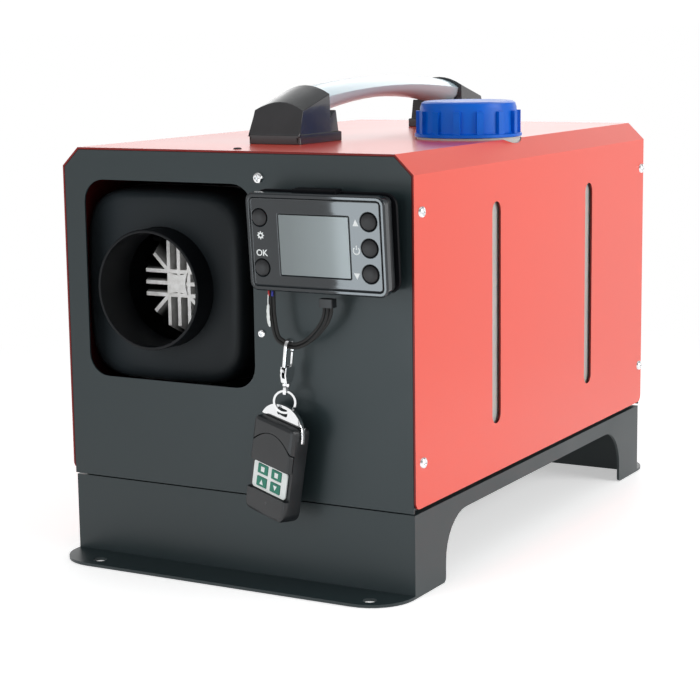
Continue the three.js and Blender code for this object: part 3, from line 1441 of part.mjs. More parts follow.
// ---------- Key ring chain ----------
// Drawn with the cable's middle at the origin and the chain hanging down -Z, the hook in (y, z).
function makeClaspBody() {
  const middle = -(HOOK_INNER - CABLE_RADIUS - FIT);
  const outer = HOOK_INNER + HOOK_BAR;
  const hook = new THREE.Shape();
  hook.moveTo(-HOOK_INNER, FORK_TOP - 2);
  hook.lineTo(-outer, FORK_TOP - 2);
  hook.absarc(0, middle, outer, Math.PI, 0, true);
  hook.lineTo(outer, GATE_TOP + FIT + 0.4);
  hook.lineTo(HOOK_INNER, GATE_TOP + FIT + 0.4);
  hook.absarc(0, middle, HOOK_INNER, 0, Math.PI);
  const bar = pullX(hook, -HOOK_HALF_THICKNESS, HOOK_HALF_THICKNESS, { arc: 5 });
  const fork = polygon([
    [-outer, FORK_TOP],
    [-outer, FORK_TOP - 5],
    [-3, FORK_BOTTOM],
    [3, FORK_BOTTOM],
    [outer, FORK_TOP - 5],
    [outer, FORK_TOP - 1],
    [2, FORK_TOP],
  ]);
  const cheeks = pullX(fork, -FORK_HALF_THICKNESS, FORK_HALF_THICKNESS);
  const slotHalf = LEVER_HALF_THICKNESS + FIT;
  const slot = block(-slotHalf, slotHalf, -outer - 1, outer + 1, LEVER_PIVOT_Z - 2, FORK_TOP + 1);
  const spine = block(-slotHalf - 0.1, slotHalf + 0.1, -outer, -HOOK_INNER, FORK_TOP - 0.4, FORK_TOP + 1);
  const swivelBore = rodZ(1.3, FORK_BOTTOM - 1, FORK_BOTTOM + 2.2, 0, 0, 12);
  const pivot = rodX(0.8, -slotHalf - 0.5, slotHalf + 0.5, 0, LEVER_PIVOT_Z + 0.5, 12);
  return join(cut(join(bar, cheeks), slot, swivelBore), spine, pivot);
}

// The spring gate: it turns in the fork, closes the hook's mouth and has a thumb tab at the front.
function makeClaspLever() {
  const inner = HOOK_INNER + 0.3;
  const outer = HOOK_INNER + HOOK_BAR - 0.2;
  const pivotZ = LEVER_PIVOT_Z;
  const gate = polygon([
    [inner, GATE_TOP],
    [outer, GATE_TOP],
    [outer, pivotZ + 3],
    [3, pivotZ],
    [1, pivotZ - 1.4],
    [-1.2, pivotZ - 1.1],
    [-2.4, pivotZ + 0.5],
    [-7.4, pivotZ + 2.6],
    [-7.4, pivotZ + 4.2],
    [-1, pivotZ + 2.8],
    [1.6, pivotZ + 2.9],
    [inner, pivotZ + 4.5],
  ]);
  const plate = pullX(gate, -LEVER_HALF_THICKNESS, LEVER_HALF_THICKNESS);
  const bore = rodX(1.1, -2, 2, 0, LEVER_PIVOT_Z + 0.5, 12);
  return cut(plate, bore);
}

// The swivel eye: a pin in the clasp, a collar and a loop across the ring.
function makeClaspEye() {
  const collarTop = FORK_BOTTOM - FIT;
  const loopTop = collarTop - 1.6;
  const pin = rodZ(1, collarTop - 1, FORK_BOTTOM + 1.8, 0, 0, 12);
  const collar = rodZ(2.6, loopTop, collarTop, 0, 0, 16);
  const innerBottom = RING_OUTER - RING_WALL - RING_DROP - FIT;
  const outer = roundedRect(-EYE_HALF_WIDTH, innerBottom - EYE_BAR, EYE_HALF_WIDTH, loopTop + 1, 2);
  const half = EYE_HALF_WIDTH - EYE_BAR;
  const inner = roundedRect(-half, innerBottom, half, loopTop - 0.6, 1);
  const loop = cut(pullX(outer, -0.9, 0.9, { arc: 1 }), pullX(inner, -2, 2, { arc: 1 }));
  return join(pin, collar, loop.rotateZ(EYE_PLANE * DEG));
}

function makeRemoteBody() {
  const half = REMOTE_HALF_WIDTH;
  const depth = REMOTE_HALF_DEPTH;
  const low = REMOTE_RADIUS;
  const high = REMOTE_TOP_RADIUS;
  const outline = new THREE.Shape();
  outline.moveTo(0, REMOTE_BOTTOM);
  outline.lineTo(half - low, REMOTE_BOTTOM);
  outline.quadraticCurveTo(half, REMOTE_BOTTOM, half, REMOTE_BOTTOM + low);
  outline.lineTo(half, REMOTE_TOP - high);
  outline.quadraticCurveTo(half, REMOTE_TOP, half - high, REMOTE_TOP);
  outline.lineTo(high - half, REMOTE_TOP);
  outline.quadraticCurveTo(-half, REMOTE_TOP, -half, REMOTE_TOP - high);
  outline.lineTo(-half, REMOTE_BOTTOM + low);
  outline.quadraticCurveTo(-half, REMOTE_BOTTOM, low - half, REMOTE_BOTTOM);
  const body = pullY(outline, -depth, depth, { bevel: REMOTE_EDGE, arc: 4 });
  const channel = new THREE.Shape();
  channel.moveTo(-half - 1, CHIN_TOP);
  channel.lineTo(half + 1, CHIN_TOP);
  channel.lineTo(half + 1, COVER_SIDE_TOP + FIT);
  channel.quadraticCurveTo(0, 2 * COVER_CROWN - COVER_SIDE_TOP + FIT, -half - 1, COVER_SIDE_TOP + FIT);
  return cut(body, pullY(channel, -depth - 1, CHANNEL_Y, { arc: 10 }));
}

function makeRemoteCover() {
  const half = REMOTE_HALF_WIDTH;
  const front = -REMOTE_HALF_DEPTH;
  const shape = new THREE.Shape();
  shape.moveTo(-half, COVER_BOTTOM);
  shape.lineTo(half, COVER_BOTTOM);
  shape.lineTo(half, COVER_SIDE_TOP);
  shape.quadraticCurveTo(0, 2 * COVER_CROWN - COVER_SIDE_TOP, -half, COVER_SIDE_TOP);
  const slab = pullY(shape, front, CHANNEL_Y - FIT, { arc: 10 });
  const cleared = KEYPAD_HALF_WIDTH + FIT;
  const hollow = block(-cleared, cleared, front + COVER_THICKNESS, 0, COVER_BOTTOM - 1, COVER_CROWN + 1);
  const chamfers = [-1, 1].map((side) => {
    const edge = polygon([
      [side * (half - REMOTE_EDGE + 0.3), front - 0.1],
      [side * (half + 1), front - 0.1],
      [side * (half + 1), front + REMOTE_EDGE],
      [side * half, front + REMOTE_EDGE],
      [side * (half - 0.7), front + 0.8],
    ]);
    return pullZ(edge, COVER_BOTTOM - 1, COVER_CROWN + 5);
  });
  return cut(slab, hollow, ...chamfers);
}

function makeKeypad() {
  const plate = roundedRect(-KEYPAD_HALF_WIDTH, KEYPAD_BOTTOM, KEYPAD_HALF_WIDTH, KEYPAD_TOP, 2);
  const back = CHANNEL_Y - FIT;
  const holes = [];
  for (const x of KEY_COLUMNS) {
    for (const z of KEY_ROWS) {
      const hole = centredRect(KEY_WIDTH + 2 * FIT, KEY_HEIGHT + 2 * FIT, 0.5, x, z);
      holes.push(pullY(hole, back - KEYPAD_THICKNESS - 1, back + 1, { arc: 1 }));
    }
  }
  return cut(pullY(plate, back - KEYPAD_THICKNESS, back, { arc: 2 }), ...holes);
}

// The bow: a bright plate with an arm down the right side. The ring goes through its window.
function makeBow() {
  const half = REMOTE_HALF_WIDTH;
  const arch = new THREE.Shape();
  arch.moveTo(-half, BOW_BOTTOM);
  arch.lineTo(half + FIT, BOW_BOTTOM);
  arch.lineTo(half + FIT, BOW_ARM_BOTTOM);
  arch.lineTo(half + FIT + BOW_WALL, BOW_ARM_BOTTOM);
  arch.quadraticCurveTo(half + FIT + BOW_WALL, BOW_CROWN - 4, half * 0.4, BOW_CROWN - 0.6);
  arch.quadraticCurveTo(0, BOW_CROWN + 0.8, -half * 0.5, BOW_CROWN - 1.6);
  arch.quadraticCurveTo(-half + 2.5, BOW_CROWN - 4.5, -half, BOW_BOTTOM);
  const plate = pullY(arch, -BOW_HALF_THICKNESS, BOW_HALF_THICKNESS, { arc: 6 });
  const ringBottom = REMOTE_DROP - RING_DROP - (RING_OUTER - RING_WALL);
  const windowZ = ringBottom + BOW_WINDOW_OVER_RING - BOW_WINDOW_HEIGHT / 2;
  const window = centredRect(BOW_WINDOW_WIDTH, BOW_WINDOW_HEIGHT, 1.2, 0, windowZ);
  return cut(plate, pullY(window, -BOW_HALF_THICKNESS - 1, BOW_HALF_THICKNESS + 1, { arc: 2 }));
}

function makeRemote(chain) {
  const hang = new THREE.Group();
  const ringAxis = new THREE.Vector3(-Math.sin(EYE_PLANE * DEG), Math.cos(EYE_PLANE * DEG), 0);
  hang.position.set(0, 0, -RING_DROP);
  hang.quaternion.setFromAxisAngle(ringAxis, REMOTE_LEAN * DEG);
  chain.add(hang);
  const remote = new THREE.Group();
  remote.position.set(0, 0, RING_DROP - REMOTE_DROP);
  remote.rotation.z = REMOTE_TURN * DEG;
  hang.add(remote);
  add("remote_body", makeRemoteBody(), BLACK_PLASTIC, remote);
  add("remote_cover", makeRemoteCover(), BLACK_PLASTIC, remote);
  add("remote_keypad", makeKeypad(), WHITE_PLASTIC, remote);
  add("remote_bow", makeBow(), CHROME, remote);
  const names = ["remote_button_lock", "remote_button_open", "remote_button_up", "remote_button_down"];
  const keyBack = CHANNEL_Y - 2 * FIT;
  let next = 0;
  for (const z of KEY_ROWS) {
    for (const x of KEY_COLUMNS) {
      const key = centredRect(KEY_WIDTH, KEY_HEIGHT, 0.4, x, z);
      const front = CHANNEL_Y - FIT - KEYPAD_THICKNESS - FIT;
      add(names[next], pullY(key, front, keyBack, { arc: 1 }), GREEN_PLASTIC, remote);
      next += 1;
    }
  }
}

function makeChain() {
  const chain = new THREE.Group();
  chain.position.set(CHAIN_X, CABLE_Y, CHAIN_Z);
  chain.rotation.y = CHAIN_LEAN * DEG;
  heater.add(chain);
  add("clasp_body", makeClaspBody(), CHROME, chain);
  add("clasp_lever", makeClaspLever(), CHROME, chain);
  add("clasp_eye", makeClaspEye(), CHROME, chain);
  const loop = ringProfile(RING_OUTER - RING_WALL, RING_OUTER, -RING_WIDTH / 2, RING_WIDTH / 2);
  const ring = revolveY(loop, 0, 0, 28).rotateZ(EYE_PLANE * DEG).translate(0, 0, -RING_DROP);
  add("split_ring", ring, CHROME, chain);
  makeRemote(chain);
}

makeCabinet();
makeBase();
makeHandle();
makeFuelSystem();
makeHeaterUnit();
makeController();
makeCable();
makeChain();

export default heater;
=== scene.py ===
"""Looks for a portable diesel air heater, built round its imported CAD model. Metres, +Z up."""

import json
import math

import bmesh
import bpy
from mathutils import Matrix, Vector


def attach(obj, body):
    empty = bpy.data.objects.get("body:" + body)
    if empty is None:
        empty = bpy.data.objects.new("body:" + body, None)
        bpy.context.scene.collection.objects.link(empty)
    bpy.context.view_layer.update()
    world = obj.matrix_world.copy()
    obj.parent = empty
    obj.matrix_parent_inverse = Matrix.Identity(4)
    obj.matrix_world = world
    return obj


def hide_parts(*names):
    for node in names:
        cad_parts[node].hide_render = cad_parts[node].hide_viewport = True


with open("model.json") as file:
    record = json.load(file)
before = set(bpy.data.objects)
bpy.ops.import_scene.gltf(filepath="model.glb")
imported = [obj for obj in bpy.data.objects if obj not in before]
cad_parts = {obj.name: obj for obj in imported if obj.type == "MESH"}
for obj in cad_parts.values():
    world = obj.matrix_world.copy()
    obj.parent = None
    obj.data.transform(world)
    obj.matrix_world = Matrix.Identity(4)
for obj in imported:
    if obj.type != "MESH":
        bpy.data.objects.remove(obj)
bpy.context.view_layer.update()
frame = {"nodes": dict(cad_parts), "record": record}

MM = 0.001
FRONT_Y = -182.65  # the front panel's face
HALF_WIDTH = 123.0
CABINET_TOP = 258.9
CABINET_MIDDLE = 155.0  # about half way up the cabinet
FIN_FRONT = -149.0  # the fins' front ends
HOOD_FRONT = -166.0  # the outlet hood's foremost ring
HOOD_BACK = -130.0  # where the hood meets the casing


# ---------- Camera ----------
PICTURE_WIDTH = 700  # pixels
FOCAL_PIXELS = 1889.76
SENSOR_WIDTH = 36
CAMERA_PLACE = Vector((0.6097, -1.1267, 0.3281))
CAMERA_YAW = -0.5108
CAMERA_PITCH = -0.1676
CAMERA_ROLL = -0.013


def make_camera():
    data = bpy.data.cameras.new("camera")
    data.sensor_width = SENSOR_WIDTH
    data.lens = FOCAL_PIXELS * SENSOR_WIDTH / PICTURE_WIDTH
    camera = bpy.data.objects.new("camera", data)
    bpy.context.scene.collection.objects.link(camera)
    yaw, pitch, roll = CAMERA_YAW, CAMERA_PITCH, CAMERA_ROLL
    level = math.cos(pitch)
    forward = Vector((math.sin(yaw) * level, math.cos(yaw) * level, math.sin(pitch)))
    right = Vector((math.cos(yaw), -math.sin(yaw), 0))
    up = right.cross(forward)
    across = right * math.cos(roll) + up * math.sin(roll)
    upward = up * math.cos(roll) - right * math.sin(roll)
    turn = Matrix((across, upward, -forward)).transposed().to_4x4()
    camera.matrix_world = Matrix.Translation(CAMERA_PLACE) @ turn
    bpy.context.scene.camera = camera


# ---------- Materials ----------
DRIFT_ENDS = (0.25, 0.75)  # between these values of the noise, a patch goes from low to high
DRIFT_DETAIL = 4
GRAIN_DETAIL = 2
GRAIN_STRENGTH = 0.6
SMOOTHEST = 0.02  # the least roughness


def shaded(color, share):
    return tuple(min(1.0, c * share) for c in color) + (1,)


def make_material(
    name, color, rough, metal=0.0, vary=0.08, patch=30, grain=0, bump=0.0, spread=0.06, **sockets
):
    """A surface whose colour and roughness drift in patches, with a fine grain in its relief.

    vary and spread are how far colour and roughness drift, patch and grain are the noises' scales,
    bump is the grain's height in millimetres, and sockets are further shader values.
    """
    material = bpy.data.materials.new(name)
    material.use_nodes = True
    nodes, links = material.node_tree.nodes, material.node_tree.links
    shader = nodes["Principled BSDF"]
    shader.inputs["Metallic"].default_value = metal
    for socket, value in sockets.items():
        shader.inputs[socket.replace("_", " ")].default_value = value
    place = nodes.new("ShaderNodeTexCoord").outputs["Object"]
    drift = nodes.new("ShaderNodeTexNoise")
    drift.inputs["Scale"].default_value = patch
    drift.inputs["Detail"].default_value = DRIFT_DETAIL
    links.new(place, drift.inputs["Vector"])
    ramp = nodes.new("ShaderNodeValToRGB")
    ramp.color_ramp.interpolation = "EASE"
    for stop, position, share in zip(ramp.color_ramp.elements, DRIFT_ENDS, (1 - vary, 1 + vary)):
        stop.position = position
        stop.color = shaded(color, share)
    links.new(drift.outputs["Fac"], ramp.inputs["Fac"])
    links.new(ramp.outputs["Color"], shader.inputs["Base Color"])
    polish = nodes.new("ShaderNodeMapRange")
    polish.interpolation_type = "SMOOTHSTEP"
    polish.inputs["From Min"].default_value, polish.inputs["From Max"].default_value = DRIFT_ENDS
    polish.inputs["To Min"].default_value = max(SMOOTHEST, rough - spread)
    polish.inputs["To Max"].default_value = rough + spread
    links.new(drift.outputs["Fac"], polish.inputs["Value"])
    links.new(polish.outputs["Result"], shader.inputs["Roughness"])
    if grain:
        fine = nodes.new("ShaderNodeTexNoise")
        fine.inputs["Scale"].default_value = grain
        fine.inputs["Detail"].default_value = GRAIN_DETAIL
        links.new(place, fine.inputs["Vector"])
        relief = nodes.new("ShaderNodeBump")
        relief.inputs["Strength"].default_value = GRAIN_STRENGTH
        relief.inputs["Distance"].default_value = bump * MM
        links.new(fine.outputs["Fac"], relief.inputs["Height"])
        links.new(relief.outputs["Normal"], shader.inputs["Normal"])
    return material


def grade_along(material, axis, start, end, share, easing="LINEAR"):
    """Takes the base colour to a share of itself along an axis, between two places in mm."""
    nodes, links = material.node_tree.nodes, material.node_tree.links
    shader = nodes["Principled BSDF"]
    paint = shader.inputs["Base Color"].links[0].from_socket
    split = nodes.new("ShaderNodeSeparateXYZ")
    links.new(nodes.new("ShaderNodeTexCoord").outputs["Object"], split.inputs["Vector"])
    grade = nodes.new("ShaderNodeMapRange")
    grade.interpolation_type = easing
    grade.inputs["From Min"].default_value = start * MM
    grade.inputs["From Max"].default_value = end * MM
    grade.inputs["To Min"].default_value = 1.0
    grade.inputs["To Max"].default_value = share
    links.new(split.outputs[axis], grade.inputs["Value"])
    scale = nodes.new("ShaderNodeVectorMath")
    scale.operation = "SCALE"
    links.new(paint, scale.inputs[0])
    links.new(grade.outputs["Result"], scale.inputs["Scale"])
    links.new(scale.outputs["Vector"], shader.inputs["Base Color"])


FINISHES = {
    "red_paint": dict(
        color=(0.81, 0.064, 0.03), rough=0.3, vary=0.012, patch=6, grain=1400, bump=0.004,
        spread=0.02, Coat_Weight=0.3, Coat_Roughness=0.09, Specular_IOR_Level=0.4,
    ),
    # painted shade: a dark copy of the red paint for the shell's inner faces
    "red_painted_shade": dict(
        color=(0.075, 0.006, 0.006), rough=0.6, vary=0.2, patch=14, grain=1400, bump=0.01,
        Specular_IOR_Level=0.15,
    ),
    # painted shade: a darker copy of the red paint for the shell's front-facing rim
    "red_rim_painted_shade": dict(
        color=(0.2, 0.012, 0.01), rough=0.5, vary=0.1, patch=14, grain=1400, bump=0.01,
        Specular_IOR_Level=0.3,
    ),
    "black_paint": dict(
        color=(0.015, 0.026, 0.029), rough=0.4, vary=0.07, patch=7, grain=1900, bump=0.014
    ),
    "black_plastic": dict(
        color=(0.011, 0.013, 0.015), rough=0.42, vary=0.12, patch=60, grain=2200, bump=0.02
    ),
    "hood_plastic": dict(
        color=(0.024, 0.031, 0.036), rough=0.46, vary=0.1, patch=18, grain=1500, bump=0.02,
        Specular_IOR_Level=0.2,
    ),
    "collar_plastic": dict(
        color=(0.0035, 0.0045, 0.006), rough=0.42, vary=0.1, patch=40, grain=1500, bump=0.02,
        Specular_IOR_Level=0.22,
    ),
    "gloss_black": dict(
        color=(0.009, 0.014, 0.018), rough=0.045, vary=0.06, patch=80, spread=0.01,
        Coat_Weight=0.4, Coat_Roughness=0.03,
    ),
    "satin_black": dict(
        color=(0.014, 0.016, 0.018), rough=0.34, vary=0.08, patch=80, grain=3000, bump=0.008
    ),
    "bracket_black": dict(
        color=(0.003, 0.0035, 0.005), rough=0.5, vary=0.08, patch=80, grain=3000, bump=0.008,
        Specular_IOR_Level=0.12,
    ),
    "mount_plastic": dict(
        color=(0.036, 0.039, 0.042), rough=0.2, vary=0.08, patch=60, grain=1400, bump=0.01,
        Coat_Weight=0.3, Coat_Roughness=0.1,
    ),
    "rubber": dict(
        color=(0.012, 0.012, 0.012), rough=0.7, vary=0.15, patch=120, grain=2500, bump=0.03
    ),
    "key_rubber": dict(
        color=(0.018, 0.019, 0.021), rough=0.5, vary=0.1, patch=200, grain=4000, bump=0.01
    ),
    "grip_grey": dict(
        color=(0.45, 0.58, 0.64), rough=0.3, vary=0.03, patch=12, grain=1200, bump=0.006,
        spread=0.01, Coat_Weight=0.3, Coat_Roughness=0.15,
    ),
    "milk_plastic": dict(
        color=(0.5, 0.48, 0.46), rough=0.45, vary=0.04, patch=20, grain=700, bump=0.02,
        Subsurface_Weight=0.25, Subsurface_Scale=0.004,
    ),
    "blue_plastic": dict(
        color=(0.0, 0.115, 0.6), rough=0.34, vary=0.06, patch=70, grain=1500, bump=0.01,
        Specular_IOR_Level=0.25,
    ),
    "cast_aluminium": dict(
        color=(0.9, 0.89, 0.87), rough=0.45, metal=0.1, vary=0.14, patch=220, grain=1100,
        bump=0.1, spread=0.12,
    ),
    "zinc_steel": dict(
        color=(0.55, 0.56, 0.57), rough=0.32, metal=1.0, vary=0.1, patch=90, grain=500, bump=0.01
    ),
    "chrome": dict(
        color=(0.88, 0.89, 0.9), rough=0.1, metal=1.0, vary=0.04, patch=150, spread=0.04
    ),
    "white_plastic": dict(
        color=(0.8, 0.84, 0.83), rough=0.35, vary=0.03, patch=200, grain=2000, bump=0.004
    ),
    "white_print": dict(
        color=(0.82, 0.86, 0.86), rough=0.5, vary=0.03, patch=300, grain=3000, bump=0.003
    ),
    "green_plastic": dict(
        color=(0.0, 0.19, 0.12), rough=0.35, vary=0.08, patch=250, grain=3000, bump=0.006
    ),
    "lcd_grey": dict(
        color=(0.15, 0.178, 0.182), rough=0.25, vary=0.01, patch=10, spread=0.0,
        Coat_Weight=0.5, Coat_Roughness=0.06,
    ),
    "red_wire": dict(
        color=(0.45, 0.02, 0.02), rough=0.45, grain=3000, bump=0.01,
    ),
    "blue_wire": dict(
        color=(0.02, 0.03, 0.3), rough=0.45, grain=3000, bump=0.01,
    ),
}
M = {name: make_material(name, **finish) for name, finish in FINISHES.items()}
# painted shade: the fins darken to almost black from their front ends back into the hood
grade_along(M["cast_aluminium"], "Y", FIN_FRONT + 1, FIN_FRONT + 15, 0.02, "SMOOTHSTEP")
# painted reflection: the display lightens towards +X, to the right
grade_along(M["lcd_grey"], "X", 55, 88, 1.45)
# painted shade: the hood's colour darkens towards +X, to the right
grade_along(M["hood_plastic"], "X", -110, -10, 0.35)
# A node that is not here has the finish named as its material slot.
FINISH_OF_NODE = {
    "outlet_hood": "hood_plastic",
    "outlet_collar": "collar_plastic",
    "handle_mount_front": "mount_plastic",
    "handle_mount_rear": "mount_plastic",
    "controller_back": "satin_black",
    "controller_bracket": "bracket_black",
    "remote_body": "satin_black",
    "remote_cover": "satin_black",
    "button_up": "key_rubber",
    "button_power": "key_rubber",
    "button_down": "key_rubber",
    "button_settings": "key_rubber",
    "button_ok": "key_rubber",
}


# ---------- Mesh helpers ----------
SHARP_ANGLE = 32  # degrees: a steeper edge is shaded sharp
SOFT_ANGLE = 40  # the same for rounded and domed pieces
CORNER_GRID = 5e-6  # corners this near to each other, in metres, share their shading
WELD_DISTANCE = 1e-7


def round_shading(obj, angle=SHARP_ANGLE):
    """Smooth shading across edges flatter than angle, and sharp ones elsewhere."""
    mesh = obj.data
    limit = math.cos(math.radians(angle))
    corners = {}
    for face in mesh.polygons:
        count = len(face.vertices)
        places = [mesh.vertices[v].co for v in face.vertices]
        for i, loop in enumerate(face.loop_indices):
            back = (places[i - 1] - places[i]).normalized()
            ahead = (places[(i + 1) % count] - places[i]).normalized()
            weight = math.acos(max(-1.0, min(1.0, back.dot(ahead)))) * face.area
            key = tuple(round(c / CORNER_GRID) for c in places[i])
            corners.setdefault(key, []).append((loop, face.normal, weight))
    normals = [None] * len(mesh.loops)
    for group in corners.values():
        for loop, normal, _ in group:
            total = Vector()
            for _, other, weight in group:
                if normal.dot(other) > limit:
                    total += other * (weight * 1e6)
            normals[loop] = total.normalized() if total.length > 1e-9 else normal
    mesh.polygons.foreach_set("use_smooth", [True] * len(mesh.polygons))
    mesh.normals_split_custom_set(normals)


def add_mesh(name, points, faces, finish, body, place=Matrix.Identity(4), angle=SHARP_ANGLE):
    """A piece from points in millimetres, set down by place, that rides on a CAD body."""
    mesh = bpy.data.meshes.new(name)
    mesh.from_pydata([place @ Vector(p) * MM for p in points], [], faces)
    mesh.validate()
    shell = bmesh.new()
    shell.from_mesh(mesh)
    bmesh.ops.remove_doubles(shell, verts=shell.verts, dist=WELD_DISTANCE)
    bmesh.ops.recalc_face_normals(shell, faces=shell.faces)
    shell.to_mesh(mesh)
    shell.free()
    obj = bpy.data.objects.new(name, mesh)
    bpy.context.scene.collection.objects.link(obj)
    mesh.materials.append(M[finish])
    round_shading(obj, angle)
    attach(obj, body)
    return obj


def prism(outline, low, high):
    """Points and faces of an (x, y) outline pulled from low to high along Z."""
    count = len(outline)
    points = [(x, y, low) for x, y in outline] + [(x, y, high) for x, y in outline]
    faces = [tuple(range(count))[::-1], tuple(range(count, 2 * count))]
    faces += [(i, (i + 1) % count, (i + 1) % count + count, i + count) for i in range(count)]
    return points, faces


def merge(*solids):
    """Points and faces of several solids as one."""
    points, faces = [], []
    for some_points, some_faces in solids:
        shift = len(points)
        points += some_points
        faces += [tuple(v + shift for v in face) for face in some_faces]
    return points, faces


def facing(normal, origin, up=(0, 0, 1)):
    """A place whose Z looks along normal, with Y as near to up as it can be. Millimetres."""
    z = Vector(normal).normalized()
    x = Vector(up).cross(z).normalized()
    y = z.cross(x)
    return Matrix.Translation(Vector(origin)) @ Matrix((x, y, z)).transposed().to_4x4()


def tube(name, points, diameter, finish, body):
    """A round cable as a smooth curve through points in millimetres."""
    data = bpy.data.curves.new(name, "CURVE")
    data.dimensions = "3D"
    data.bevel_depth = diameter / 2 * MM
    data.bevel_resolution = 4
    data.use_fill_caps = True
    line = data.splines.new("POLY")
    line.points.add(len(points) - 1)
    for point, place in zip(line.points, points):
        point.co = (*(Vector(place) * MM), 1)
    line.use_smooth = True
    obj = bpy.data.objects.new(name, data)
    bpy.context.scene.collection.objects.link(obj)
    data.materials.append(M[finish])
    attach(obj, body)
    return obj


def smooth_line(points, steps):
    """A Catmull-Rom line through points, with steps stretches between each two."""
    ends = [2 * points[0] - points[1], *points, 2 * points[-1] - points[-2]]
    line = []
    for i in range(1, len(ends) - 2):
        a, b, c, d = ends[i - 1 : i + 3]
        for step in range(steps):
            t = step / steps
            square, cube = 2 * a - 5 * b + 4 * c - d, 3 * b - a - 3 * c + d
            line.append(0.5 * (2 * b + (c - a) * t + square * t**2 + cube * t**3))
    return [*line, points[-1]]


# ---------- Cable ----------
CABLE_Y = -196.5
CABLE_ROUTE = [
    (37.2, 179.3), (37.2, 175), (37.4, 165.2), (39.6, 153.3), (43.2, 149.6), (48.1, 147.8),
    (53.4, 147.6), (60.5, 150.6), (67.2, 156.4), (72, 162.6), (74, 168), (74.2, 171.2),
]
CABLE_STEPS = 6
STRAND = 2.0  # its diameter
# Each strand's place, across the bundle and towards the back, in three spots: at the controller, at
# the hook and at the plug.
STRANDS = (
    ((-1.1, -0.5), (-1.2, -0.5), (-2.3, -0.2)),
    ((0.95, -0.8), (0.9, -0.8), (0.0, 0.1)),
    ((0.1, 1.05), (0.1, 1.05), (2.2, 0.3)),
)


def spread_at(places, share):
    """The offset of a strand at a share of its way, eased between its three places."""
    first, second = (places[0], places[1]) if share < 0.5 else (places[1], places[2])
    t = share * 2 % 1 if share < 1 else 1
    t = t * t * (3 - 2 * t)
    return [a + (b - a) * t for a, b in zip(first, second)]


def make_cable():
    """Three sheathed strands side by side, each from the controller to its plug."""
    middle = smooth_line([Vector((x, CABLE_Y, z)) for x, z in CABLE_ROUTE], CABLE_STEPS)
    for index, places in enumerate(STRANDS):
        line = []
        for i, point in enumerate(middle):
            out, back = spread_at(places, i / (len(middle) - 1))
            run = middle[min(i + 1, len(middle) - 1)] - middle[max(i - 1, 0)]
            side = Vector((run.z, 0, -run.x)).normalized()
            line.append(point + side * out + Vector((0, back, 0)))
        name = f"cable_strand_{index + 1}"
        strand = tube(name, line, STRAND, "rubber", "heater")
        if index == 0:
            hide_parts("controller_cable")


# ---------- Screws ----------
LARGE_HEAD = (3.5, 1.9)  # a screw head's radius and height
SMALL_HEAD = (2.6, 1.4)
LOW_HEAD = (2.6, 0.9)
CROSS_WIDTH = (0.15, 0.07)  # the recess in shares of the head's radius, with the slope of its wall
CROSS_REACH = (0.58, 0.12)
CROSS_DEPTH = 0.6  # in shares of the head's height
TOP_SCREW = (-2.7, -168.5)
PANEL_SCREWS = (("top", 20.5, 243.3, LARGE_HEAD), ("middle", 20.7, 150.7, SMALL_HEAD))
SIDE_SCREWS = {
    "front_top": (-173.5, 226), "front_low": (-173.5, 80.3),
    "rear_top": (177.5, 226.5), "rear_low": (177.5, 81.2),
}


def ramped(value, low, reach):
    """1 where value is under low by reach or more, 0 where it is over low."""
    return max(0.0, min(1.0, (low - value) / reach))


def screw(name, place, head, finish="chrome"):
    """A pan head with a cross recess. place has its Z out of the surface."""
    radius, height = head
    rings, sides = 14, 48
    points, faces = [], []
    for ring in range(rings + 1):
        share = ring / rings
        for i in range(sides):
            angle = 2 * math.pi * i / sides
            x, y = share * math.cos(angle), share * math.sin(angle)
            dome = height * (1 - share**4.5) ** 0.5 if share < 1 else 0
            narrow, long_way = sorted((abs(x), abs(y)))
            cross = ramped(narrow, *CROSS_WIDTH) * ramped(long_way, *CROSS_REACH)
            points.append((x * radius, y * radius, dome - CROSS_DEPTH * height * cross))
    for ring in range(rings):
        for i in range(sides):
            a, b = ring * sides + i, ring * sides + (i + 1) % sides
            faces.append((a, a + sides, b + sides, b))
    return add_mesh(name, points, faces, finish, "heater", place, angle=SOFT_ANGLE)


def make_screws():
    for end, way in (("front", -1), ("rear", 1)):
        for spot, x, z, head in PANEL_SCREWS:
            place = facing((0, way, 0), (x, -way * FRONT_Y, z))
            screw(f"{end}_screw_{spot}", place, head)
    top = facing((0, 0, 1), (*TOP_SCREW, CABINET_TOP), (0, 1, 0))
    screw("top_screw", top, LOW_HEAD, "black_plastic")
    for side, label in ((1, "right"), (-1, "left")):
        for corner, (y, z) in SIDE_SCREWS.items():
            place = facing((side, 0, 0), (side * HALF_WIDTH, y, z))
            screw(f"side_screw_{label}_{corner}", place, LARGE_HEAD)


# ---------- Controller marks ----------
CONTROLLER_LEAN = 4.7  # degrees
CONTROLLER = (
    Matrix.Translation((71.5, FRONT_Y - 22.5, 208.4))
    @ Matrix.Rotation(math.radians(CONTROLLER_LEAN), 4, "X")
)
PRINT_DEPTH = 0.55  # the print's front face, just proud of the recessed plate at 0.6
LETTER_WEIGHT = 0.018  # what each stroke gains on both sides, in shares of the letter's size
LETTER_DEPTH = 0.04  # to each side of the letters' middle


def flat_mark(name, outlines, place, finish="white_print", body="heater", front=0.0, back=0.08):
    """Marks of one thickness from (x, z) outlines, standing in the plane y = front to back."""
    solids = []
    for outline in outlines:
        points, faces = prism([(x, -z) for x, z in outline], front, back)
        solids.append(([(x, depth, -z) for x, z, depth in points], faces))
    return add_mesh(name, *merge(*solids), finish, body, place, angle=20)


def around(centre, radius, angle):
    """The point at a radius and an angle round a centre."""
    return centre[0] + radius * math.cos(angle), centre[1] + radius * math.sin(angle)


def arc_band(centre, inner, outer, start, end, steps=24):
    """The outline of a band round a centre, between two angles in degrees."""
    angles = [math.radians(start + (end - start) * i / steps) for i in range(steps + 1)]
    far = [around(centre, outer, a) for a in angles]
    near = [around(centre, inner, a) for a in reversed(angles)]
    return far + near


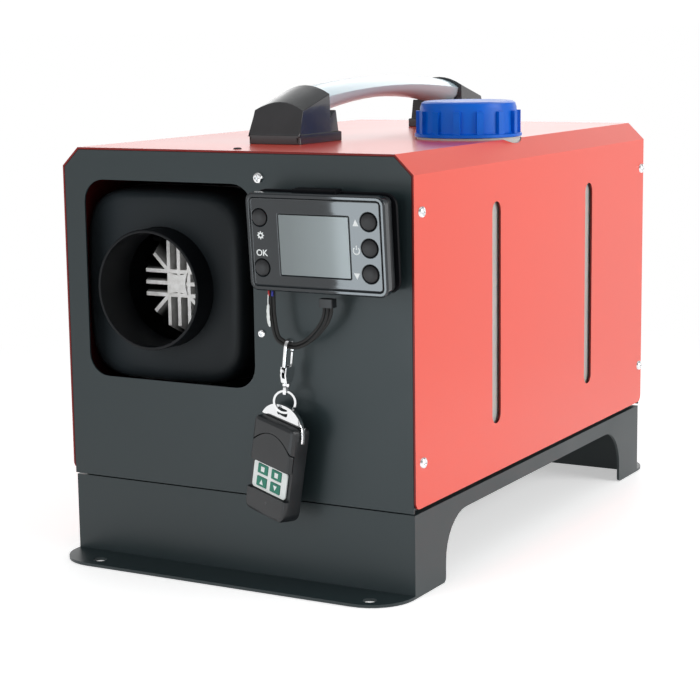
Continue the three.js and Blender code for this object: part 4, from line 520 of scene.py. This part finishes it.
def gear_outline(centre, inner, outer, teeth):
    """The outline of a toothed wheel."""
    outline = []
    for tooth in range(teeth):
        for share, radius in ((-0.22, inner), (-0.14, outer), (0.14, outer), (0.22, inner)):
            outline.append(around(centre, radius, 2 * math.pi * (tooth + share) / teeth))
    return outline


def letters(name, word, size, centre, place):
    """A generic word as a thin mesh, centred at (x, z) in the plane y = 0 of place."""
    data = bpy.data.curves.new(name, "FONT")
    data.body = word
    data.size = size
    data.align_x = "CENTER"
    data.align_y = "CENTER"
    data.offset = size * LETTER_WEIGHT
    data.extrude = LETTER_DEPTH
    data.resolution_u = 4
    obj = bpy.data.objects.new(name, data)
    bpy.context.scene.collection.objects.link(obj)
    upright = Matrix.Rotation(math.radians(90), 4, "X")
    mesh = bpy.data.meshes.new_from_object(obj)
    bpy.data.objects.remove(obj)
    shift = Matrix.Translation((centre[0], 0, centre[1]))
    mesh.transform(Matrix.Scale(MM, 4) @ place @ shift @ upright)
    piece = bpy.data.objects.new(name, mesh)
    bpy.context.scene.collection.objects.link(piece)
    mesh.materials.clear()
    mesh.materials.append(M["white_print"])
    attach(piece, "heater")
    return piece


CONTROLLER_MARKS = {
    "mark_up": [[(24.6, 11.6), (28.4, 11.6), (26.5, 15.4)]],
    "mark_down": [[(24.0, -15.4), (27.8, -15.4), (25.9, -19.1)]],
    "mark_power": [
        arc_band((26.3, -2.5), 1.65, 2.3, 125, 415),
        [(26.0, -2.0), (26.6, -2.0), (26.6, 0.5), (26.0, 0.5)],
    ],
}
GEAR_MIDDLE = (-36.5, 3.8)


def make_controller_marks():
    plate = CONTROLLER @ Matrix.Translation((0, PRINT_DEPTH, 0))
    for name, outlines in CONTROLLER_MARKS.items():
        flat_mark(name, outlines, plate)
    flat_mark("mark_settings", [gear_outline(GEAR_MIDDLE, 1.75, 2.4, 8)], plate)
    hub = arc_band(GEAR_MIDDLE, 0.0, 0.85, 0, 360, 20)
    flat_mark("mark_settings_hub", [hub], plate, "gloss_black", front=-0.03)
    letters("mark_ok", "OK", 5.2, (-36.3, -6.6), plate)


# ---------- Remote ----------
CHAIN_LEAN = 6.4  # degrees, as the next three
RING_LEAN = 2.3
RING_TURN = 14
REMOTE_TURN = -19.6
RING_DROP = 34.1  # from the hook to the ring, and to the remote's middle
REMOTE_DROP = 71.1
HOOK = (48.1, CABLE_Y, 147.7)  # where the clasp hangs in the cable's loop
CHAIN = Matrix.Translation(HOOK) @ Matrix.Rotation(math.radians(CHAIN_LEAN), 4, "Y")
RING_AXIS = Vector((-math.sin(math.radians(RING_TURN)), math.cos(math.radians(RING_TURN)), 0))
REMOTE = (
    CHAIN
    @ Matrix.Translation((0, 0, -RING_DROP))
    @ Matrix.Rotation(math.radians(RING_LEAN), 4, RING_AXIS)
    @ Matrix.Translation((0, 0, RING_DROP - REMOTE_DROP))
    @ Matrix.Rotation(math.radians(REMOTE_TURN), 4, "Z")
)
CHIN_FRONT = -7.05  # the face under the keys
PROUD = 0.06  # how far a mark stands in front of its key
KEY_FRONT = -5.0  # the keys' faces
KEY_MARKS = {
    "remote_button_lock": [(-8.5, -7.9), (-5.3, -7.9), (-5.3, -4.9), (-8.5, -4.9)],
    "remote_button_open": [(4.2, -7.9), (7.4, -7.9), (7.4, -4.9), (4.2, -4.9)],
    "remote_button_up": [(-8.5, -15.8), (-5.3, -15.8), (-6.9, -12.7)],
    "remote_button_down": [(5.8, -15.8), (7.4, -12.7), (4.2, -12.7)],
}


def make_remote_marks():
    for button, outline in KEY_MARKS.items():
        front = REMOTE @ Matrix.Translation((0, KEY_FRONT - PROUD, 0))
        flat_mark(button.replace("button", "mark"), [outline], front, "white_print", button)
    chin = REMOTE @ Matrix.Translation((0, CHIN_FRONT, 0))
    lamp = arc_band((1.6, -24.4), 0.0, 0.75, 0, 360, 20)
    flat_mark("remote_led", [lamp], chin, "gloss_black", "remote")


# ---------- Wires ----------
def ribbon(name, line, widths, thickness, finish):
    """A flat strip of rounded section along a line in millimetres, with a width at each point."""
    points, faces = [], []
    sides = 12
    for i, place in enumerate(line):
        run = (line[min(i + 1, len(line) - 1)] - line[max(i - 1, 0)]).normalized()
        across = run.cross(Vector((0, 1, 0))).normalized()
        out = across.cross(run)
        for k in range(sides):
            angle = 2 * math.pi * k / sides
            sideways = across * (widths[i] / 2 * math.cos(angle))
            points.append(place + sideways + out * (thickness / 2 * math.sin(angle)))
    for i in range(len(line) - 1):
        for k in range(sides):
            a, b = i * sides + k, i * sides + (k + 1) % sides
            faces.append((a, b, b + sides, a + sides))
    last = (len(line) - 1) * sides
    faces += [tuple(range(sides))[::-1], tuple(range(last, last + sides))]
    return add_mesh(name, points, faces, finish, "heater")


WIRE_STEPS = 4
TAG_Y = -199.1
TAG_THICKNESS = 0.8
# Each wire's finish, diameter and route, and the tag's places along X and Z with its width there.
WIRES = {
    "wire_red": (
        "red_wire", 1.1, ((35.9, -198.4, 180.5), (35.9, -198.6, 178.2), (36.0, -198.4, 176.4)),
    ),
    "wire_blue": (
        "blue_wire", 1.3, ((38.4, -198.2, 180.5), (38.4, -198.6, 178), (38.2, -198.4, 176.2)),
    ),
    "wire_thin": (
        "white_plastic", 0.7, ((35.6, -198.8, 177), (35.55, -199.0, 174), (35.5, TAG_Y, 170)),
    ),
}
TAG = (
    (35.8, 171.4, 0.9), (35.6, 170.2, 1.9), (35.5, 168.8, 1.7), (35.4, 167.2, 2.2),
    (35.5, 165.6, 1.8), (35.5, 164.0, 2.3), (35.6, 162.4, 1.9), (35.9, 160.9, 2.2),
    (36.2, 159.4, 1.7), (36.5, 158.2, 0.9),
)


def make_wires():
    """The wires that leave the controller beside the cable, and the white tag round one of them."""
    for name, (finish, width, places) in WIRES.items():
        line = smooth_line([Vector(p) for p in places], WIRE_STEPS)
        ribbon(name, line, [width] * len(line), width, finish)
    line = [Vector((x, TAG_Y, z)) for x, z, _ in TAG]
    ribbon("wire_tag", line, [width for _, _, width in TAG], TAG_THICKNESS, "white_plastic")


# ---------- Stage ----------
FLOOR_LIFT = 0.46  # the light that the near floor adds to its own paper
FLOOR_NEAR = 0.32  # metres: from here the paper turns to plain white
FLOOR_FAR = 0.8  # and from here it is that
FLOOR_REACH = 6
FLOOR_DROP = 0.0003


def seen_or_mirrored(nodes, links):
    """1 for rays from the camera, a mirror or a clear surface, and 0 for light on its way."""
    path = nodes.new("ShaderNodeLightPath").outputs
    kinds = [path["Is Camera Ray"], path["Is Glossy Ray"], path["Is Transmission Ray"]]
    total = kinds[0]
    for kind in kinds[1:]:
        either = nodes.new("ShaderNodeMath")
        either.operation = "MAXIMUM"
        links.new(total, either.inputs[0])
        links.new(kind, either.inputs[1])
        total = either.outputs["Value"]
    return total


def make_floor_finish():
    """White paper that keeps the object's shadow, and is as white as the background further off."""
    material = make_material("floor_white", (0.93, 0.93, 0.93), 0.6, vary=0.006, patch=3)
    nodes, links = material.node_tree.nodes, material.node_tree.links
    paper = nodes["Principled BSDF"]
    paper.inputs["Specular IOR Level"].default_value = 0.1
    place = nodes.new("ShaderNodeTexCoord").outputs["Object"]
    distance = nodes.new("ShaderNodeVectorMath")
    distance.operation = "LENGTH"
    links.new(place, distance.inputs[0])
    far = nodes.new("ShaderNodeMapRange")
    far.interpolation_type = "SMOOTHSTEP"
    far.inputs["From Min"].default_value = FLOOR_NEAR
    far.inputs["From Max"].default_value = FLOOR_FAR
    links.new(distance.outputs["Value"], far.inputs["Value"])
    seen = seen_or_mirrored(nodes, links)
    lift = nodes.new("ShaderNodeEmission")
    share = nodes.new("ShaderNodeMath")
    share.operation = "MULTIPLY"
    share.inputs[1].default_value = FLOOR_LIFT
    links.new(seen, share.inputs[0])
    links.new(share.outputs["Value"], lift.inputs["Strength"])
    near = nodes.new("ShaderNodeAddShader")
    links.new(paper.outputs["BSDF"], near.inputs[0])
    links.new(lift.outputs["Emission"], near.inputs[1])
    white = nodes.new("ShaderNodeEmission")
    blend = nodes.new("ShaderNodeMixShader")
    both = nodes.new("ShaderNodeMath")
    both.operation = "MULTIPLY"
    links.new(seen, both.inputs[0])
    links.new(far.outputs["Result"], both.inputs[1])
    links.new(both.outputs["Value"], blend.inputs["Fac"])
    links.new(near.outputs["Shader"], blend.inputs[1])
    links.new(white.outputs["Emission"], blend.inputs[2])
    links.new(blend.outputs["Shader"], nodes["Material Output"].inputs["Surface"])
    return material


def make_stage():
    mesh = bpy.data.meshes.new("floor")
    corners = ((-1, -1), (1, -1), (1, 1), (-1, 1))
    points = [(x * FLOOR_REACH, y * FLOOR_REACH, -FLOOR_DROP) for x, y in corners]
    mesh.from_pydata(points, [], [(0, 1, 2, 3)])
    floor = bpy.data.objects.new("floor", mesh)
    bpy.context.scene.collection.objects.link(floor)
    mesh.materials.append(make_floor_finish())


def add_light(name, place, target, size, power, color=(1, 1, 1)):
    """A soft box of two side lengths at place, in metres, that looks at target."""
    data = bpy.data.lights.new(name, "AREA")
    data.shape = "RECTANGLE"
    data.size, data.size_y = size
    data.energy = power
    data.color = color
    light = bpy.data.objects.new(name, data)
    bpy.context.scene.collection.objects.link(light)
    look = (Vector(target) - Vector(place)).to_track_quat("-Z", "Y")
    light.matrix_world = Matrix.Translation(place) @ look.to_matrix().to_4x4()
    light.visible_camera = False
    return light


# The studio's brightness by the sine of the height above the horizon, in front and by the backdrop.
SKY = (
    (0.0, 1.0, 1.0), (0.05, 1.0, 1.35), (0.12, 0.75, 1.6), (0.2, 0.5, 1.6),
    (0.42, 0.3, 1.0), (0.8, 0.4, 0.6), (0.92, 0.8, 0.8), (1.0, 0.8, 0.8),
)
SKY_TOP = 2.0  # a brightness above all of these
BACKDROP_WAY = (-0.45, 0.89, 0.05)
BACKDROP_EDGES = (0.6, 0.95)  # cosines from that way: the backdrop's edge, and its full brightness


def sky_ramp(nodes, links, height, column):
    """The sky's brightness over its height, from a column of the table."""
    ramp = nodes.new("ShaderNodeValToRGB")
    links.new(height, ramp.inputs["Fac"])
    stops = ramp.color_ramp.elements
    while len(stops) < len(SKY):
        stops.new(0.5)
    for stop, row in zip(stops, SKY):
        stop.position = row[0]
        stop.color = (row[column] / SKY_TOP,) * 3 + (1,)
    return ramp.outputs["Color"]


def make_world():
    world = bpy.data.worlds.new("studio")
    bpy.context.scene.world = world
    world.use_nodes = True
    nodes, links = world.node_tree.nodes, world.node_tree.links
    background = nodes["Background"]
    way = nodes.new("ShaderNodeTexCoord").outputs["Generated"]
    split = nodes.new("ShaderNodeSeparateXYZ")
    links.new(way, split.inputs["Vector"])
    toward = nodes.new("ShaderNodeVectorMath")
    toward.operation = "DOT_PRODUCT"
    toward.inputs[1].default_value = BACKDROP_WAY
    links.new(way, toward.inputs[0])
    share = nodes.new("ShaderNodeMapRange")
    share.interpolation_type = "SMOOTHSTEP"
    share.inputs["From Min"].default_value, share.inputs["From Max"].default_value = BACKDROP_EDGES
    links.new(toward.outputs["Value"], share.inputs["Value"])
    blend = nodes.new("ShaderNodeMix")
    blend.data_type = "RGBA"
    links.new(share.outputs["Result"], blend.inputs["Factor"])
    links.new(sky_ramp(nodes, links, split.outputs["Z"], 1), blend.inputs["A"])
    links.new(sky_ramp(nodes, links, split.outputs["Z"], 2), blend.inputs["B"])
    links.new(blend.outputs["Result"], background.inputs["Color"])
    background.inputs["Strength"].default_value = SKY_TOP


def make_lights():
    """A key from the right, a fill for the front that no surface mirrors, and two cards.

    A card is there to be mirrored: one in the controller's plate, one in the handle's front mount.
    """
    add_light("key", (1.75, 0.1, 0.75), (0.12, 0, 0.15), (1.1, 0.9), 16.5)
    fill = add_light("fill", (-0.5, -1.9, 0.75), (0.0, -0.18, 0.15), (1.2, 0.9), 11)
    fill.visible_glossy = False
    plate_target, mount_target = (0.0, -0.18, 0.14), (0.0, -0.1, 0.28)
    cool = (0.82, 0.93, 1)
    for card in (
        add_light("low_card", (-0.15, -0.74, 0.065), plate_target, (0.145, 0.13), 0.34, cool),
        add_light("rear_card", (-0.63, 1.96, 1.33), mount_target, (0.9, 0.9), 5),
    ):
        card.visible_diffuse = False
    view = bpy.context.scene.view_settings
    view.view_transform = "Standard"
    view.look = "None"


# ---------- Dressing the CAD nodes ----------
SUBPARTS = {part["node"]: part for part in frame["record"]["subparts"]}
BODIES = frame["record"]["behaviour"]["bodies"]
BODY_OF_NODE = {node: body for body, nodes in BODIES.items() for node in nodes}
# The nodes whose edges are rounded, with the width in millimetres and the steps across it.
SOFT_EDGES = {
    "handle_mount_front": (0.5, 2), "handle_mount_rear": (0.5, 2), "controller_bezel": (0.8, 3),
    "controller_back": (1.0, 3), "controller_bracket": (0.5, 2), "remote_bow": (0.35, 2),
    "remote_cover": (0.3, 2), "outlet_collar": (0.5, 2), "outlet_hood": (0.5, 2),
    "clasp_body": (0.25, 2),
}
HARD_ANGLE = 30  # degrees: an edge from here on is rounded
FLAT_ANGLE = 0.6  # and faces that meet flatter than this become one
SOFT_WELD = 2e-6


def finish_of(name):
    return FINISH_OF_NODE.get(name, SUBPARTS[name]["material_slot"])


def soften(name, width, segments):
    """A copy of a CAD node whose hard edges are rounded to width millimetres, in its place."""
    shell = bmesh.new()
    shell.from_mesh(frame["nodes"][name].data)
    bmesh.ops.remove_doubles(shell, verts=shell.verts, dist=SOFT_WELD)
    bmesh.ops.dissolve_limit(
        shell, angle_limit=math.radians(FLAT_ANGLE), verts=shell.verts, edges=shell.edges,
        delimit=set(),
    )
    limit = math.radians(HARD_ANGLE)
    hard = [e for e in shell.edges if len(e.link_faces) == 2 and e.calc_face_angle(0) > limit]
    bmesh.ops.bevel(
        shell, geom=hard, offset=width * MM, offset_type="OFFSET", segments=segments,
        profile=0.5, affect="EDGES", clamp_overlap=False,
    )
    mesh = bpy.data.meshes.new(name + "_softened")
    shell.to_mesh(mesh)
    shell.free()
    obj = bpy.data.objects.new(name + "_softened", mesh)
    bpy.context.scene.collection.objects.link(obj)
    mesh.materials.append(M[finish_of(name)])
    round_shading(obj, SOFT_ANGLE)
    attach(obj, BODY_OF_NODE[name])
    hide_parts(name)
    return obj


def fill_hood(obj):
    """Brings the shoulders of the hood forward, so its face stands flat behind the panel."""
    depth = HOOD_BACK - HOOD_FRONT
    for vertex in obj.data.vertices:
        share = (HOOD_BACK * MM - vertex.co.y) / (depth * MM)
        if 0 < share < 1:
            vertex.co.y = (HOOD_BACK - depth * (1 - (1 - share) ** 2)) * MM


# INSIDE and RIM are painted shade: darker copies of the red paint
OUTSIDE, INSIDE, RIM = range(3)  # the shell's material slots
RIM_FACING = 0.7  # how squarely a face of the rim looks to the front


def shade_shell(obj):
    """Gives the shell's inner faces and its cut front rim darker copies of the red paint, as
    painted shade.
    """
    obj.data.materials.append(M["red_painted_shade"])
    obj.data.materials.append(M["red_rim_painted_shade"])
    for face in obj.data.polygons:
        out = Vector((face.center.x, 0, face.center.z - CABINET_MIDDLE * MM))
        # faces looking to the front get painted shade
        if face.normal.y < -RIM_FACING:
            face.material_index = RIM
        else:
            face.material_index = INSIDE if face.normal.dot(out) < -1e-4 else OUTSIDE


def dress_frame():
    """Every CAD node's finish and shading, and the rounded copies that replace some of them."""
    for name, obj in frame["nodes"].items():
        obj.data.materials.clear()
        obj.data.materials.append(M[finish_of(name)])
        round_shading(obj)
    shade_shell(frame["nodes"]["outer_shell"])
    for name, (width, segments) in SOFT_EDGES.items():
        piece = soften(name, width, segments)
        if name == "outlet_hood":
            fill_hood(piece)
            round_shading(piece, SOFT_ANGLE)


make_camera()
make_cable()
dress_frame()
make_screws()
make_controller_marks()
make_remote_marks()
make_wires()
make_stage()
make_world()
make_lights()
